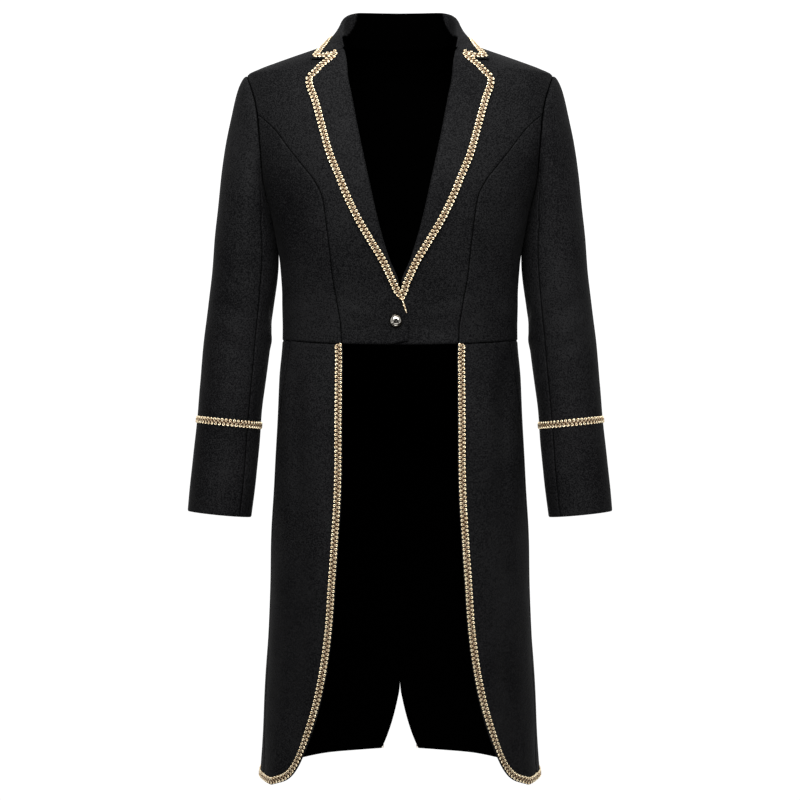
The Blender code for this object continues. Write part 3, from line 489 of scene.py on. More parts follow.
@dataclass
class Grid:
    """Cloth wall: points of its outer and inner face, rows running down, columns front to back."""

    points: Array
    inner: Array
    crease_samples: ClassVar[int] = 20
    crease_fade: ClassVar[float] = 0.7
    swells: ClassVar[tuple[float, ...]] = (150.0, 95.0, 62.0, 41.0)

    @classmethod
    def around(cls, middle: Array, out: float, into: float) -> "Grid":
        """Wall about a middle surface, so far out of it and so far into it."""
        normals = grid_normals(middle)
        return cls(middle + normals * out, middle - normals * into)

    def lengths(self) -> tuple[Array, Array]:
        """Distance of each point along its row and down its column, on the inner face."""
        return distances(self.inner, 1), distances(self.inner)

    def lifted(self, lift: Array, whole: bool = True) -> "Grid":
        """The wall moved out along its normals, or its outer face alone."""
        move = grid_normals(self.points) * lift[..., None]
        return Grid(self.points + move, self.inner + move if whole else self.inner)

    def bordered(self, left: Border, right: Border, top: Border, bottom: Border) -> "Grid":
        """The wall with its outer face turned down along its four edges."""
        along_row, down_column = self.lengths()
        lift = np.zeros(self.points.shape[:2])
        for border, distance in ((left, along_row), (right, along_row[:, -1:] - along_row),
                                 (top, down_column), (bottom, down_column[-1:] - down_column)):
            depth, width = border.value
            lift = np.minimum(lift, -depth * np.exp(-(distance / width) ** 2))
        return self.lifted(lift, False)

    def creased(self, creases: Sequence[Crease], place: Callable[[Array, Array], Array]) -> "Grid":
        """The grid with soft creases.

        A crease's rise fades like a bell across it and like a half sine along it, so that its ends
        run out into the cloth.

        Args:
            creases: The creases, in the form's own turns and heights.
            place: Gives points of the form from turns and heights.

        Returns:
            The creased grid.
        """
        lift = np.zeros(self.points.shape[:2])
        share = (np.arange(self.crease_samples) + 0.5) / self.crease_samples
        for crease in creases:
            line = place(crease.turn_a + (crease.turn_b - crease.turn_a) * share,
                         crease.height_a + (crease.height_b - crease.height_a) * share)
            step = np.linalg.norm(line[-1] - line[0]) / len(share)
            near = ((self.points[..., None, :] - line) ** 2).sum(axis=-1)
            bell = np.exp(-near / crease.width ** 2) * np.sin(np.pi * share) ** self.crease_fade
            lift += crease.rise * bell.sum(axis=-1) * step / (crease.width * math.sqrt(math.pi))
        return self.lifted(lift)

    def uneven(self, rise: float, seed: int) -> "Grid":
        """The grid with broad shallow swells: sums of long sine waves over x, y and z."""
        chance = np.random.default_rng(seed)
        lift = np.zeros(self.points.shape[:2])
        for length in self.swells:
            way = unit(chance.normal(size=3))
            start = chance.uniform(0.0, 2 * math.pi)
            wave = np.sin(self.points @ way * 2 * math.pi / length + start)
            lift += rise * length / self.swells[0] * wave
        return self.lifted(lift)

    def draped(self, drape: Drape, place: Callable[[Array, Array], Array], *borders: Border) -> "Grid":
        """The grid creased, uneven and bordered on its left, right, top and bottom."""
        return self.creased(drape.creases, place).uneven(drape.rise, drape.seed).bordered(*borders)

    def at(self, row: Array, column: Array) -> tuple[Array, Array]:
        """Points and normals of the outer face at fractional rows and columns."""
        rows, columns = self.points.shape[:2]
        normals = grid_normals(self.points)
        i = np.clip(np.floor(row).astype(int), 0, rows - 2)
        j = np.clip(np.floor(column).astype(int), 0, columns - 2)
        s, t = (row - i)[:, None], (column - j)[:, None]

        def blend(field: Array) -> Array:
            """Mean of a cell's four corners, by nearness."""
            return ((1 - s) * ((1 - t) * field[i, j] + t * field[i, j + 1])
                    + s * ((1 - t) * field[i + 1, j] + t * field[i + 1, j + 1]))

        return blend(self.points), unit(blend(normals))

    def column_at(self, distance: float, from_end: bool = False) -> Array:
        """Fractional column in each row that lies a distance, square to it, from the first or last."""
        across, down = unit(np.gradient(self.inner, axis=1)), unit(np.gradient(self.inner, axis=0))
        edge = -1 if from_end else 0
        square = np.linalg.norm(np.cross(across[:, edge], down[:, edge]), axis=-1)
        along_row, _ = self.lengths()
        reach = distance / np.maximum(square, LEAST_SQUARE)
        wanted = along_row[:, -1] - reach if from_end else reach
        index = np.arange(along_row.shape[1])
        return np.array([np.interp(at, row, index) for at, row in zip(wanted, along_row)])

    def row_at(self, distance: float, from_end: bool = False) -> Array:
        """Fractional row in each column that lies a distance, square to it, from the first or last."""
        return Grid(self.points.swapaxes(0, 1), self.inner.swapaxes(0, 1)).column_at(distance, from_end)


Socket = bpy.types.NodeSocket
Tone = tuple[float, float, float]
Fed = Socket | float | Sequence[float]
BAND_RADIANS = 20
BLACK = (0.0001, 0.0001, 0.0001)


@dataclass(frozen=True)
class Nodes:
    """Node tree of a material or of the world, with a call for each kind of node."""

    tree: bpy.types.NodeTree

    def feed(self, node: bpy.types.Node, inputs: dict[str | int, Fed]) -> None:
        """Link or set a node's inputs."""
        for name, value in inputs.items():
            if isinstance(value, Socket):
                self.tree.links.new(value, node.inputs[name])
            else:
                node.inputs[name].default_value = value

    def add(self, kind: str, output: str | int, inputs: dict[str | int, Fed], **options: str) -> Socket:
        """Output of a new node.

        Args:
            kind: The node's type.
            output: Name or number of the output.
            inputs: What its inputs are linked or set to.
            options: Its own options.

        Returns:
            The output's socket.
        """
        node = self.tree.nodes.new(kind)
        for name, value in options.items():
            setattr(node, name, value)
        self.feed(node, inputs)
        return node.outputs[output]

    def noise(self, scale: float, detail: float = 2.0) -> Socket:
        """Noise over the object's own space."""
        place = self.add("ShaderNodeTexCoord", "Object", {})
        return self.add("ShaderNodeTexNoise", "Fac", {"Vector": place, "Scale": scale, "Detail": detail})

    def ribs(self, size: float, waver: float, turn: float = 0.0) -> Socket:
        """Bands across the UV map turned by some degrees, their size in millimetres a radian."""
        uv = self.add("ShaderNodeUVMap", "UV", {}, uv_map="UVMap")
        turned = self.add("ShaderNodeMapping", "Vector",
                          {"Vector": uv, "Rotation": (0.0, 0.0, math.radians(turn))})
        return self.add("ShaderNodeTexWave", "Fac", {
            "Vector": turned, "Scale": 1 / (size * MM * BAND_RADIANS), "Distortion": waver})

    def attribute(self, name: str) -> Socket:
        """The mesh's own value at each vertex."""
        return self.add("ShaderNodeAttribute", "Fac", {}, attribute_name=name)

    def maths(self, operation: str, *values: Fed) -> Socket:
        """Result of a maths node."""
        return self.add("ShaderNodeMath", 0, dict(enumerate(values)), operation=operation)

    def carry(self, value: Socket, given: Span, wanted: Span) -> Socket:
        """Value carried from one range to another and kept inside it."""
        ends = dict(zip(("From Min", "From Max", "To Min", "To Max"), (*given, *wanted)))
        return self.add("ShaderNodeMapRange", "Result", {"Value": value, **ends})

    def mix(self, share: Socket, *colours: Socket | Tone) -> Socket:
        """Colour between two."""
        first, second = (colour if isinstance(colour, Socket) else (*colour, 1.0) for colour in colours)
        return self.add("ShaderNodeMix", 2, {0: share, 6: first, 7: second}, data_type="RGBA")

    def bump(self, height: Socket, depth: float, below: Socket | None = None) -> Socket:
        """Normal bent by a height field of so many millimetres, over another one."""
        under = {} if below is None else {"Normal": below}
        return self.add("ShaderNodeBump", "Normal", {"Height": height, "Distance": depth * MM, **under})


@dataclass(frozen=True)
class Finish:
    """A finish: a material of one name."""

    name: str

    def sockets(self, nodes: Nodes) -> dict[str | int, Fed]:
        """What the shader's own sockets are linked or set to."""
        raise NotImplementedError

    def build(self) -> bpy.types.Material:
        """Make the material."""
        material = bpy.data.materials.new(self.name)
        material.use_nodes = True
        nodes = Nodes(material.node_tree)
        nodes.feed(material.node_tree.nodes["Principled BSDF"], self.sockets(nodes))
        return material


@dataclass(frozen=True)
class ClothFinish(Finish):
    """Black worsted with a fine twill, a grainy crepe and a soft sheen."""

    name: str = "suiting"
    dark: Tone = (0.0006, 0.0006, 0.0008)
    light: Tone = (0.0062, 0.0062, 0.0065)
    rib_size: float = 0.95
    rib_waver: float = 1.2
    rib_turn: float = 63.0
    rib_height: float = 0.10
    grain: float = 560.0
    grain_height: float = 0.45
    cloud: float = 9.0
    cloud_share: float = 0.35
    cloud_detail: float = 4.0
    mottle: Span = (0.56, 0.80)
    roughness: float = 0.72
    specular: float = 0.03
    sheen: float = 0.004
    sheen_roughness: float = 0.45

    def sockets(self, nodes: Nodes) -> dict[str | int, Fed]:
        """Twill ribs over noise; where the vertex attribute is 1 the cloth is as black as the lining:
        painted shade along the seams and over the collar stand's lining.
        """
        ribs = nodes.ribs(self.rib_size, self.rib_waver, self.rib_turn)
        grain, cloud = nodes.noise(self.grain), nodes.noise(self.cloud, self.cloud_detail)
        # The vertex attribute blackens the cloth's colour, specular and sheen as painted shade: along the
        # seams, and over the collar stand's lining.
        lining_and_shade = nodes.attribute("lining_and_shade")
        mottle = nodes.maths("MULTIPLY_ADD", cloud, self.cloud_share, grain)
        cloth = nodes.mix(nodes.carry(mottle, self.mottle, (0.0, 1.0)), self.dark, self.light)
        return {
            "Base Color": nodes.mix(lining_and_shade, cloth, BLACK),
            "Specular IOR Level": nodes.carry(lining_and_shade, (0.0, 1.0), (self.specular, 0.0)),
            "Sheen Weight": nodes.carry(lining_and_shade, (0.0, 1.0), (self.sheen, 0.0)),
            "Normal": nodes.bump(ribs, self.rib_height, nodes.bump(grain, self.grain_height)),
            "Roughness": self.roughness,
            "Sheen Roughness": self.sheen_roughness,
        }


@dataclass(frozen=True)
class BraidFinish(Finish):
    """Gilt gimp thread wound round a core: painted highlight on the winding's ridges over painted shade in
    its tan depths, with random mottle.
    """

    name: str = "gold_braid"
    # Tones below: the first is painted shade where the cord crosses itself, the second painted shade in the
    # winding's grooves, the third painted highlight on its ridges; the last two also carry random mottle.
    sunk_shade: Tone = (0.085, 0.036, 0.010)
    deep_shade: Tone = (0.36, 0.19, 0.06)
    bright: Tone = (0.98, 0.87, 0.61)
    wind_size: float = 0.7
    wind_waver: float = 0.4
    wind_share: float = 0.4
    wind_height: float = 0.12
    patch: float = 420.0
    mottle: Span = (0.42, 0.82)
    roughness: float = 0.34
    metallic: float = 0.22

    def sockets(self, nodes: Nodes) -> dict[str | int, Fed]:
        """Winding ribs and noise vary the gilt, lighter on the ridges as painted highlight and darker in
        the grooves as painted shade; the vertex attribute adds painted shade where the cord crosses itself.
        """
        winding = nodes.ribs(self.wind_size, self.wind_waver)
        mottle = nodes.maths("MULTIPLY_ADD", winding, self.wind_share, nodes.noise(self.patch))
        # Colour from the winding: painted highlight on its ridges and painted shade in its grooves, mixed
        # with random mottle.
        gilt = nodes.mix(nodes.carry(mottle, self.mottle, (0.0, 1.0)), self.deep_shade, self.bright)
        return {
            "Base Color": nodes.mix(nodes.attribute("sunk_shade"), gilt, self.sunk_shade),
            "Normal": nodes.bump(winding, self.wind_height),
            "Roughness": self.roughness,
            "Metallic": self.metallic,
        }


@dataclass(frozen=True)
class ButtonFinish(Finish):
    """Polished pale metal, with painted dark reflections where the vertex attribute says."""

    name: str = "button_metal"
    bright: Tone = (0.86, 0.82, 0.74)
    # Tone of the painted dark reflections.
    dark: Tone = (0.012, 0.009, 0.006)
    grain: float = 300.0
    grain_height: float = 0.05
    roughness: float = 0.16

    def sockets(self, nodes: Nodes) -> dict[str | int, Fed]:
        """The painted reflections mix the two tones; noise breaks up the shine."""
        return {
            "Base Color": nodes.mix(nodes.attribute("painted_reflection"), self.bright, self.dark),
            "Normal": nodes.bump(nodes.noise(self.grain), self.grain_height),
            "Roughness": self.roughness,
            "Metallic": 1.0,
        }


@dataclass(frozen=True)
class PlainFinish(Finish):
    """Smooth finish with a faint mottle: the lining, the braid's tape and the floor."""

    dark: Tone
    light: Tone
    roughness: float
    specular: float
    grain: float
    grain_height: float
    detail: float = 3.0

    def sockets(self, nodes: Nodes) -> dict[str | int, Fed]:
        """Noise mixes the two tones and gives the slight relief."""
        noise = nodes.noise(self.grain, self.detail)
        return {
            "Base Color": nodes.mix(noise, self.dark, self.light),
            "Normal": nodes.bump(noise, self.grain_height),
            "Roughness": self.roughness,
            "Specular IOR Level": self.specular,
        }


LINING = PlainFinish("lining", BLACK, (0.0002, 0.0002, 0.0002), 0.9, 0.0, 700.0, 0.05)
# The braid's tape is near black as painted shade in the holes between the cord's loops.
BRAID_SHADE_TAPE = PlainFinish("braid_shade_tape", (0.012, 0.006, 0.002), (0.040, 0.020, 0.008), 0.8, 0.1, 900.0, 0.15)
FLOOR = PlainFinish("pale_floor", (0.80, 0.80, 0.80), (0.84, 0.84, 0.84), 0.9, 0.2, 3.0, 0.0)


def placed(name: str, data: bpy.types.ID) -> bpy.types.Object:
    """New object of the scene."""
    item = bpy.data.objects.new(name, data)
    bpy.context.scene.collection.objects.link(item)
    return item


@dataclass
class Workshop:
    """Makes the coat's meshes and keeps its materials."""

    cloth: bpy.types.Material
    lining: bpy.types.Material
    braid: bpy.types.Material
    tape: bpy.types.Material
    gilt: bpy.types.Material
    # How black the seams are painted as shade in their grooves, and the wall thicknesses over which that
    # painted shade fades in.
    seam_shade: float = 0.9
    seam_walls: Span = (0.95, 0.4)

    def piece(self, name: str, points: Array, quads: Array, uv: Array, side: Side,
              materials: Sequence[bpy.types.Material], index: Array | None = None) -> bpy.types.Object:
        """Mesh object from points in millimetres.

        Args:
            name: The piece's name.
            points: Vertices on the wearer's left.
            quads: Four vertex numbers a face, outward by the right-hand rule on the left side.
            uv: Texture place of each vertex, in metres.
            side: The side it is for; the right one is mirrored.
            materials: Its material slots.
            index: Slot number of each face.

        Returns:
            The linked object, riding on the coat.
        """
        if side is Side.RIGHT:
            points, quads = points * MIRROR, quads[:, ::-1]
        mesh = bpy.data.meshes.new(name)
        mesh.from_pydata((points * MM).tolist(), [], quads.tolist())
        layer = mesh.uv_layers.new(name="UVMap")
        layer.data.foreach_set("uv", uv[quads.ravel()].astype(np.float32).ravel())
        for material in materials:
            mesh.materials.append(material)
        if index is not None:
            mesh.polygons.foreach_set("material_index", index.astype(np.int32))
        mesh.shade_smooth()
        piece = placed(name, mesh)
        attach(piece, "root")
        return piece

    def mark(self, piece: bpy.types.Object, name: str, values: Array) -> None:
        """Give each vertex its value of a new attribute."""
        layer = piece.data.attributes.new(name, "FLOAT", "POINT")
        layer.data.foreach_set("value", values.astype(np.float32))

    def shell(self, node: str, grid: Grid, side: Side,
              inside: bpy.types.Material | None = None, lining_and_shade: Array | float = 0.0) -> bpy.types.Object:
        """Thin cloth shell standing for a CAD node: two faces joined by rims, with painted shade in its
        seams.

        Args:
            node: The CAD node it replaces.
            grid: Its outer and inner face.
            side: The side it is for.
            inside: Material of its inner face, or None for the lining.
            lining_and_shade: How far its outer face is lined and blackened as painted shade, at each point.

        Returns:
            The shell.
        """
        rows, columns = grid.points.shape[:2]
        count = rows * columns
        along_row, down_column = grid.lengths()
        uv = np.stack([along_row, -down_column], axis=-1).reshape(-1, 2) * MM
        face = grid_quads(rows, columns, False)
        number = np.arange(count).reshape(rows, columns)
        rims = [np.stack([line[1:], line[:-1], line[:-1] + count, line[1:] + count], axis=1)
                for line in (number[:, 0], number[-1], number[::-1, -1], number[0, ::-1])]
        quads = np.concatenate([face, face[:, ::-1] + count, *rims])
        slots = np.repeat([0, 1, 0], [len(face), len(face), len(quads) - 2 * len(face)])
        points = np.concatenate([grid.points.reshape(-1, 3), grid.inner.reshape(-1, 3)])
        piece = self.piece(f"{node}_cloth", points, quads, np.concatenate([uv, uv]), side,
                           (self.cloth, inside or self.lining), slots)
        thickness = np.linalg.norm(grid.points - grid.inner, axis=-1)
        # Painted shade: the cloth is blackened where its wall thins in a seam's groove, and where the
        # collar stand is lined and painted dark.
        shade = np.maximum(self.seam_shade * smoothstep(*self.seam_walls, thickness), lining_and_shade).ravel()
        self.mark(piece, "lining_and_shade", np.concatenate([shade, shade]))
        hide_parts(node)
        return piece


def grid_quads(rows: int, columns: int, closed: bool) -> Array:
    """Faces of a grid, outward when its rows run down and its columns from front to back."""
    i, j = np.meshgrid(np.arange(rows - 1), np.arange(columns if closed else columns - 1), indexing="ij")
    i, j = i.ravel() * columns, j.ravel()
    k = (j + 1) % columns
    return np.stack([i + j, i + columns + j, i + columns + k, i + k], axis=1)


@dataclass(frozen=True)
class Bodice:
    """Centre fronts, side fronts and backs, from the shoulder to the waist."""

    seam_angle: float = 96.0
    gorge_height: float = 1.0
    roll_reach: float = 4.5
    lap_drop: float = 2.5
    lap_start: float = 16.0
    lap_end: float = 80.0
    lap_high: float = -200.0
    lap_low: float = -290.0
    step_high: float = -323.5
    step_low: float = -330.5
    princess_turn: float = 73.0
    corner_rise: float = 4.2
    corner_start: float = 16.0
    corner_end: float = -9.0
    shoulder_rows: tuple[float, ...] = (21.8, 20.8, 19.8, 18.8, 13.0, 4.0, -6.0, -16.5)
    waist_rows: tuple[float, ...] = (4.5, 3.2, 2.1, 1.3, 0.6, 0.0)
    waist_gap: float = 6.0
    step_margin: float = 1.0
    armhole_rows: int = 61
    princess_rows: int = 40
    low_rows: int = 56
    step_rows: int = 7
    front_columns: int = 34
    side_columns: int = 24
    back_columns: int = 42

    def rows(self, front: bool) -> tuple[Array, Array]:
        """Heights from the neck to the underarm, and the armhole turn of each, nan at the shoulder."""
        shoulder = finer([*self.shoulder_rows, FORM.shoulder_tip], 4)[:-1]
        turn = np.linspace(0.0, 180.0, self.armhole_rows)
        heights = np.concatenate([shoulder, FORM.armhole_height(turn)])
        return heights, np.concatenate([np.full(len(shoulder), np.nan), turn if front else -turn])

    def low_levels(self) -> Array:
        """Heights from the underarm to the waist, close together at the step and the waist seam."""
        even = np.linspace(FORM.underarm, FORM.waist_side + self.waist_gap, self.low_rows)[1:]
        margin = self.step_margin
        step = np.linspace(self.step_low - margin, self.step_high + margin, self.step_rows)
        near = FORM.waist_side + np.array(self.waist_rows)
        return np.sort(np.concatenate([even, step, near]))[::-1]

    def edge_x(self, side: Side, height: Array) -> Array:
        """Front panel's inner edge: neckline, roll line inside the lapel's turn, then the lap."""
        neck = read(NECKLINE_FRONT, "x", height) + self.roll_reach
        roll = read(ROLL_LINE, "x", height) + self.roll_reach
        lap = read(OVERLAP_EDGE if side is Side.RIGHT else UNDERLAP_EDGE, "x", height)
        below = smoothstep(self.step_high, self.step_low, height)
        return np.where(height > self.gorge_height, neck, roll) * (1 - below) + lap * below

    def drop(self, side: Side, angle: Array, height: Array) -> Array:
        """How far the left front lies under the right one near the centre."""
        if side is Side.RIGHT:
            return np.zeros(np.broadcast(angle, height).shape)
        near = 1 - smoothstep(self.lap_start, self.lap_end, FORM.point(angle, height)[..., 0])
        return -self.lap_drop * near * smoothstep(self.lap_high, self.lap_low, height)

    def princess(self, height: Array) -> Array:
        """Angle of the princess seam."""
        return FORM.front_angle(read(PRINCESS, "x", height), height)

    def inner_angle(self, side: Side, height: Array) -> Array:
        """Angle of the front panel's inner edge."""
        return FORM.front_angle(self.edge_x(side, height), height)

    def outer_angle(self, height: Array, turn: Array) -> Array:
        """Outer edge of the centre front: shoulder seam, armhole, then princess seam."""
        princess = self.princess(height)
        edge = np.where(np.isnan(turn), 90.0, np.minimum(FORM.armhole_angle(np.nan_to_num(turn)), 90.0))
        return np.where(height <= PRINCESS[0].height, np.minimum(princess, edge), edge)

    def panel(self, upper_in: Array, upper_out: Array, heights: Array,
              low_in: Callable[[Array], Array], low_out: Callable[[Array], Array],
              count: int) -> tuple[Array, Array]:
        """Angles and heights of a panel from the neck or armhole down to the waist seam.

        Args:
            upper_in: Inner edge's angle in each upper row.
            upper_out: Outer edge's angle in each upper row.
            heights: Heights of the upper rows, the underarm last.
            low_in: Inner edge's angle at heights under the arm.
            low_out: Outer edge's angle at heights under the arm.
            count: Steps between the close parts of a row.

        Returns:
            Angles and heights of the whole panel.
        """
        angles, levels = FORM.rows_between(upper_in, upper_out, heights, heights, count)
        low = self.low_levels()
        share = (low - FORM.underarm) / (FORM.waist_side - FORM.underarm)
        low_angles, _ = FORM.rows_between(low_in(low), low_out(low), low, low, count)
        low_heights = FORM.underarm + (FORM.waist(low_angles) - FORM.underarm) * share[:, None]
        return np.vstack([angles, low_angles]), np.vstack([levels, low_heights])

    def front(self, side: Side) -> Grid:
        """Centre front."""
        heights, turn = self.rows(True)
        angles, levels = self.panel(
            self.inner_angle(side, heights), self.outer_angle(heights, turn), heights,
            lambda z: self.inner_angle(side, z), self.princess, self.front_columns)
        if side is Side.RIGHT:
            share = np.clip((FORM.underarm - levels) / (FORM.underarm - FORM.waist(angles)), 0.0, 1.0)
            x = FORM.point(angles, FORM.waist_side)[..., 0]
            levels = levels + self.corner_rise * smoothstep(self.corner_start, self.corner_end, x) * share
        grid = FORM.wall(angles, levels, self.drop(side, angles, levels))
        return grid.draped(BODY_DRAPE, FORM.point, Border.FREE, Border.SEAM, Border.SEAM, Border.SEAM)

    def side_front(self) -> Grid:
        """Side front."""
        turn = np.linspace(self.princess_turn, 180.0, self.princess_rows)
        heights = FORM.armhole_height(turn)
        outer = FORM.armhole_angle(turn)
        outer[-1] = self.seam_angle
        grid = FORM.wall(*self.panel(self.princess(heights), outer, heights, self.princess,
                                     lambda z: np.full_like(z, self.seam_angle), self.side_columns))
        return grid.draped(BODY_DRAPE, FORM.point, Border.SEAM, Border.SEAM, Border.HIDDEN, Border.SEAM)

    def back(self) -> Grid:
        """Back."""
        heights, turn = self.rows(False)
        shoulder = np.isnan(turn)
        outer = np.where(shoulder | (turn == 0), 90.0, FORM.armhole_angle(np.nan_to_num(turn)))
        outer[-1] = self.seam_angle
        neck = 180.0 - FORM.front_angle(read(NECKLINE_BACK, "x", heights), heights)
        grid = FORM.wall(*self.panel(outer, neck, heights, lambda z: np.full_like(z, self.seam_angle),
                                     lambda z: np.full_like(z, 180.0), self.back_columns))
        return grid.draped(BODY_DRAPE, FORM.point, *[Border.SEAM] * 4)

    def build(self, shop: Workshop) -> None:
        """Make the six bodice panels."""
        for side in Side:
            for part, grid in (("front", self.front(side)), ("side_front", self.side_front()),
                               ("back", self.back())):
                shop.shell(f"{part}_{side.word}", grid, side)
                LOG.info("%s %s: %d points", part, side.word, grid.points[..., 0].size)


@dataclass(frozen=True)
class Tails:
    """Front and back tails from the waist seam to the hem."""

    rows: int = 150
    length: float = 614.0
    samples: int = 600
    waist_fade: int = 20
    front_columns: int = 30
    back_columns: int = 66

    def along(self, edge: Sequence[Edge], shares: Array) -> tuple[Array, Array]:
        """Points of an edge at shares of its length."""
        heights = np.linspace(edge[0].height, edge[-1].height, self.samples)
        x = read(edge, "x", heights)
        length = distances(np.stack([x, heights], axis=1))
        at = shares * length[-1]
        return np.interp(at, length, x), np.interp(at, length, heights)

    def grid(self, front: bool) -> Grid:
        """Front tail, or back tail."""
        shares = graded(self.length, self.rows) / self.length
        first, last = (TAIL_EDGE, SKIRT_SEAM) if front else (SKIRT_SEAM, VENT_EDGE)
        x_in, z_in = self.along(first, shares)
        x_out, z_out = self.along(last, shares)
        angle_in, angle_out = FORM.front_angle(x_in, z_in), FORM.front_angle(x_out, z_out)
        if not front:
            angle_out = 180.0 - angle_out
        z_in = z_in + (FORM.waist(angle_in) - z_in) * (1 - shares) ** self.waist_fade
        z_out = z_out + (FORM.waist(angle_out) - z_out) * (1 - shares) ** self.waist_fade
        angles, heights = FORM.rows_between(angle_in, angle_out, z_in, z_out,
                                            self.front_columns if front else self.back_columns)
        ends = FORM.waist(angles[:, [0, -1]])
        part = (angles - angles[:, :1]) / (angles[:, -1:] - angles[:, :1])
        straight = ends[:, :1] + (ends[:, 1:] - ends[:, :1]) * part
        heights = heights + (FORM.waist(angles) - straight) * ((1 - shares) ** 2)[:, None]
        first_border = Border.FREE if front else Border.SEAM
        return FORM.wall(angles, heights).draped(
            SKIRT_DRAPE, FORM.point, first_border, Border.SEAM, Border.SEAM, Border.FREE)

    def build(self, shop: Workshop, braider: "Braider") -> None:
        """Make the four tails and the braid on their edges."""
        for side in Side:
            front, back = self.grid(True), self.grid(False)
            shop.shell(f"tail_front_{side.word}", front, side)
            shop.shell(f"tail_back_{side.word}", back, side)
            last_row, first_column = front.row_at(braider.inset, True), front.column_at(braider.inset)
            row, column = crossing(last_row, first_column, len(first_column) - 1.0)
            rows, columns = np.arange(int(row)), np.arange(math.ceil(column) + 1, len(last_row))
            path = front.at(np.concatenate([rows, [row], last_row[columns]]),
                            np.concatenate([first_column[rows], [column], columns]))
            braider.lace(f"trim_tail_{side.word}", side, *path)
            hem = back.row_at(braider.inset, True)
            braider.lace(f"trim_hem_{side.word}", side, *back.at(hem, np.arange(len(hem))))
            LOG.info("tails %s: braided", side.word)


@dataclass(frozen=True)
class Sleeves:
    """Two-piece sleeves from the armhole to the cuff."""

    lean: float = math.radians(5.64)
    axis_x: float = 217.9
    axis_z: float = -286.0
    top: float = -235.0
    cuff: float = -643.0
    braid_height: float = -515.0
    seam_top: float = 122.0
    seam_cuff: float = 134.0
    back_seam: float = -107.0
    cap_leave: float = 0.30
    cap_grading: float = 1.3
    cap_rows: int = 44
    arm_rows: int = 96
    top_columns: int = 66
    under_columns: int = 36
    seam_columns: tuple[float, ...] = (0.0, 0.7, 1.6, 2.8, 4.4, 6.5)
    seam_dip: int = 4

    def turned(self, turns: Array, share: float) -> Array:
        """Turns of the front half shifted so that the front seam drifts inward down the sleeve."""
        seam = self.seam_top + (self.seam_cuff - self.seam_top) * share
        before = turns * seam / self.seam_top
        after = 180 - (180 - turns) * (180 - seam) / (180 - self.seam_top)
        shifted = np.where(turns <= self.seam_top, before, after)
        return np.where((turns > 0) & (turns <= 180), shifted, turns)

    def heights(self) -> Array:
        """Heights of the rings from the underarm to the cuff."""
        return self.top - graded(self.top - self.cuff, self.arm_rows)

    def ring(self, height: float, turns: Array) -> Array:
        """Ring of the sleeve square to its leaning axis."""
        out = np.array([math.cos(self.lean), 0.0, math.sin(self.lean)])
        centre = np.array([self.axis_x + (self.axis_z - height) * math.tan(self.lean),
                           float(read(SLEEVE, "middle", height)), height])
        side, ahead = np.cos(np.radians(turns)), np.sin(np.radians(turns))
        width = np.where(side >= 0, read(SLEEVE, "outer", height), read(SLEEVE, "inner", height)) * side
        depth = np.where(ahead >= 0, -read(SLEEVE, "front", height), read(SLEEVE, "back", height))
        points = centre + width[:, None] * out
        points[:, 1] += depth * np.abs(ahead)
        return points

    def surface(self, turns: Array) -> Grid:
        """Sleeve surface over some turns, from the armhole over the cap to the cuff."""
        length = self.top - self.cuff
        rings = [self.ring(z, self.turned(turns, (self.top - z) / length)) for z in self.heights()]
        armhole = np.where(turns > 180, turns - 360, turns)
        start = FORM.skin(FORM.armhole_angle(armhole), FORM.armhole_height(armhole), -SOLID_WALL / 2)
        reach = np.linalg.norm(rings[0] - start, axis=1)[:, None]
        leave = OUTWARD * reach * self.cap_leave
        arrive = np.array([math.sin(self.lean), 0.0, -math.cos(self.lean)]) * reach
        t = np.linspace(0.0, 1.0, self.cap_rows)[:-1, None, None] ** self.cap_grading
        cap = cubic(t, start, rings[0], leave, arrive)
        return Grid.around(np.concatenate([cap, rings]), SOLID_WALL / 2, WALL - SOLID_WALL / 2)

    def place(self, turn: Array, height: Array) -> Array:
        """Points of the sleeve at turns and heights, for its creases."""
        return np.array([self.ring(float(z), np.array([t]))[0] for t, z in zip(turn, height)])

    def half(self, top: bool) -> Grid:
        """Top sleeve or under sleeve, its columns running from front to back."""
        first = self.seam_top if top else 360 + self.back_seam
        last = self.back_seam if top else self.seam_top
        columns = self.top_columns if top else self.under_columns
        turns = graded(abs(first - last), columns, self.seam_columns)
        return self.surface(first - turns).draped(
            SLEEVE_DRAPE, self.place, Border.SEAM, Border.SEAM, Border.ARMHOLE, Border.FREE)

    def build(self, shop: Workshop, braider: "Braider") -> None:
        """Make both sleeves and the braid round each cuff."""
        for side in Side:
            top, under = self.half(True), self.half(False)
            shop.shell(f"top_sleeve_{side.word}", top, side)
            shop.shell(f"under_sleeve_{side.word}", under, side)
            path = [np.concatenate([upper, lower[1:-1]])
                    for upper, lower in zip(self.band(top), self.band(under))]
            braider.lace(f"trim_cuff_{side.word}", side, *path, closed=True)
            LOG.info("sleeve %s: braided", side.word)

    def band(self, grid: Grid) -> tuple[Array, Array]:
        """Points and normals of a grid's row at the cuff braid's height, bar the seams' dips."""
        heights = self.heights()
        row = self.cap_rows - 1 + np.interp(-self.braid_height, -heights, np.arange(len(heights)))
        columns = np.arange(self.seam_dip, grid.points.shape[1] - self.seam_dip)
        return grid.at(np.full(len(columns), row), columns)


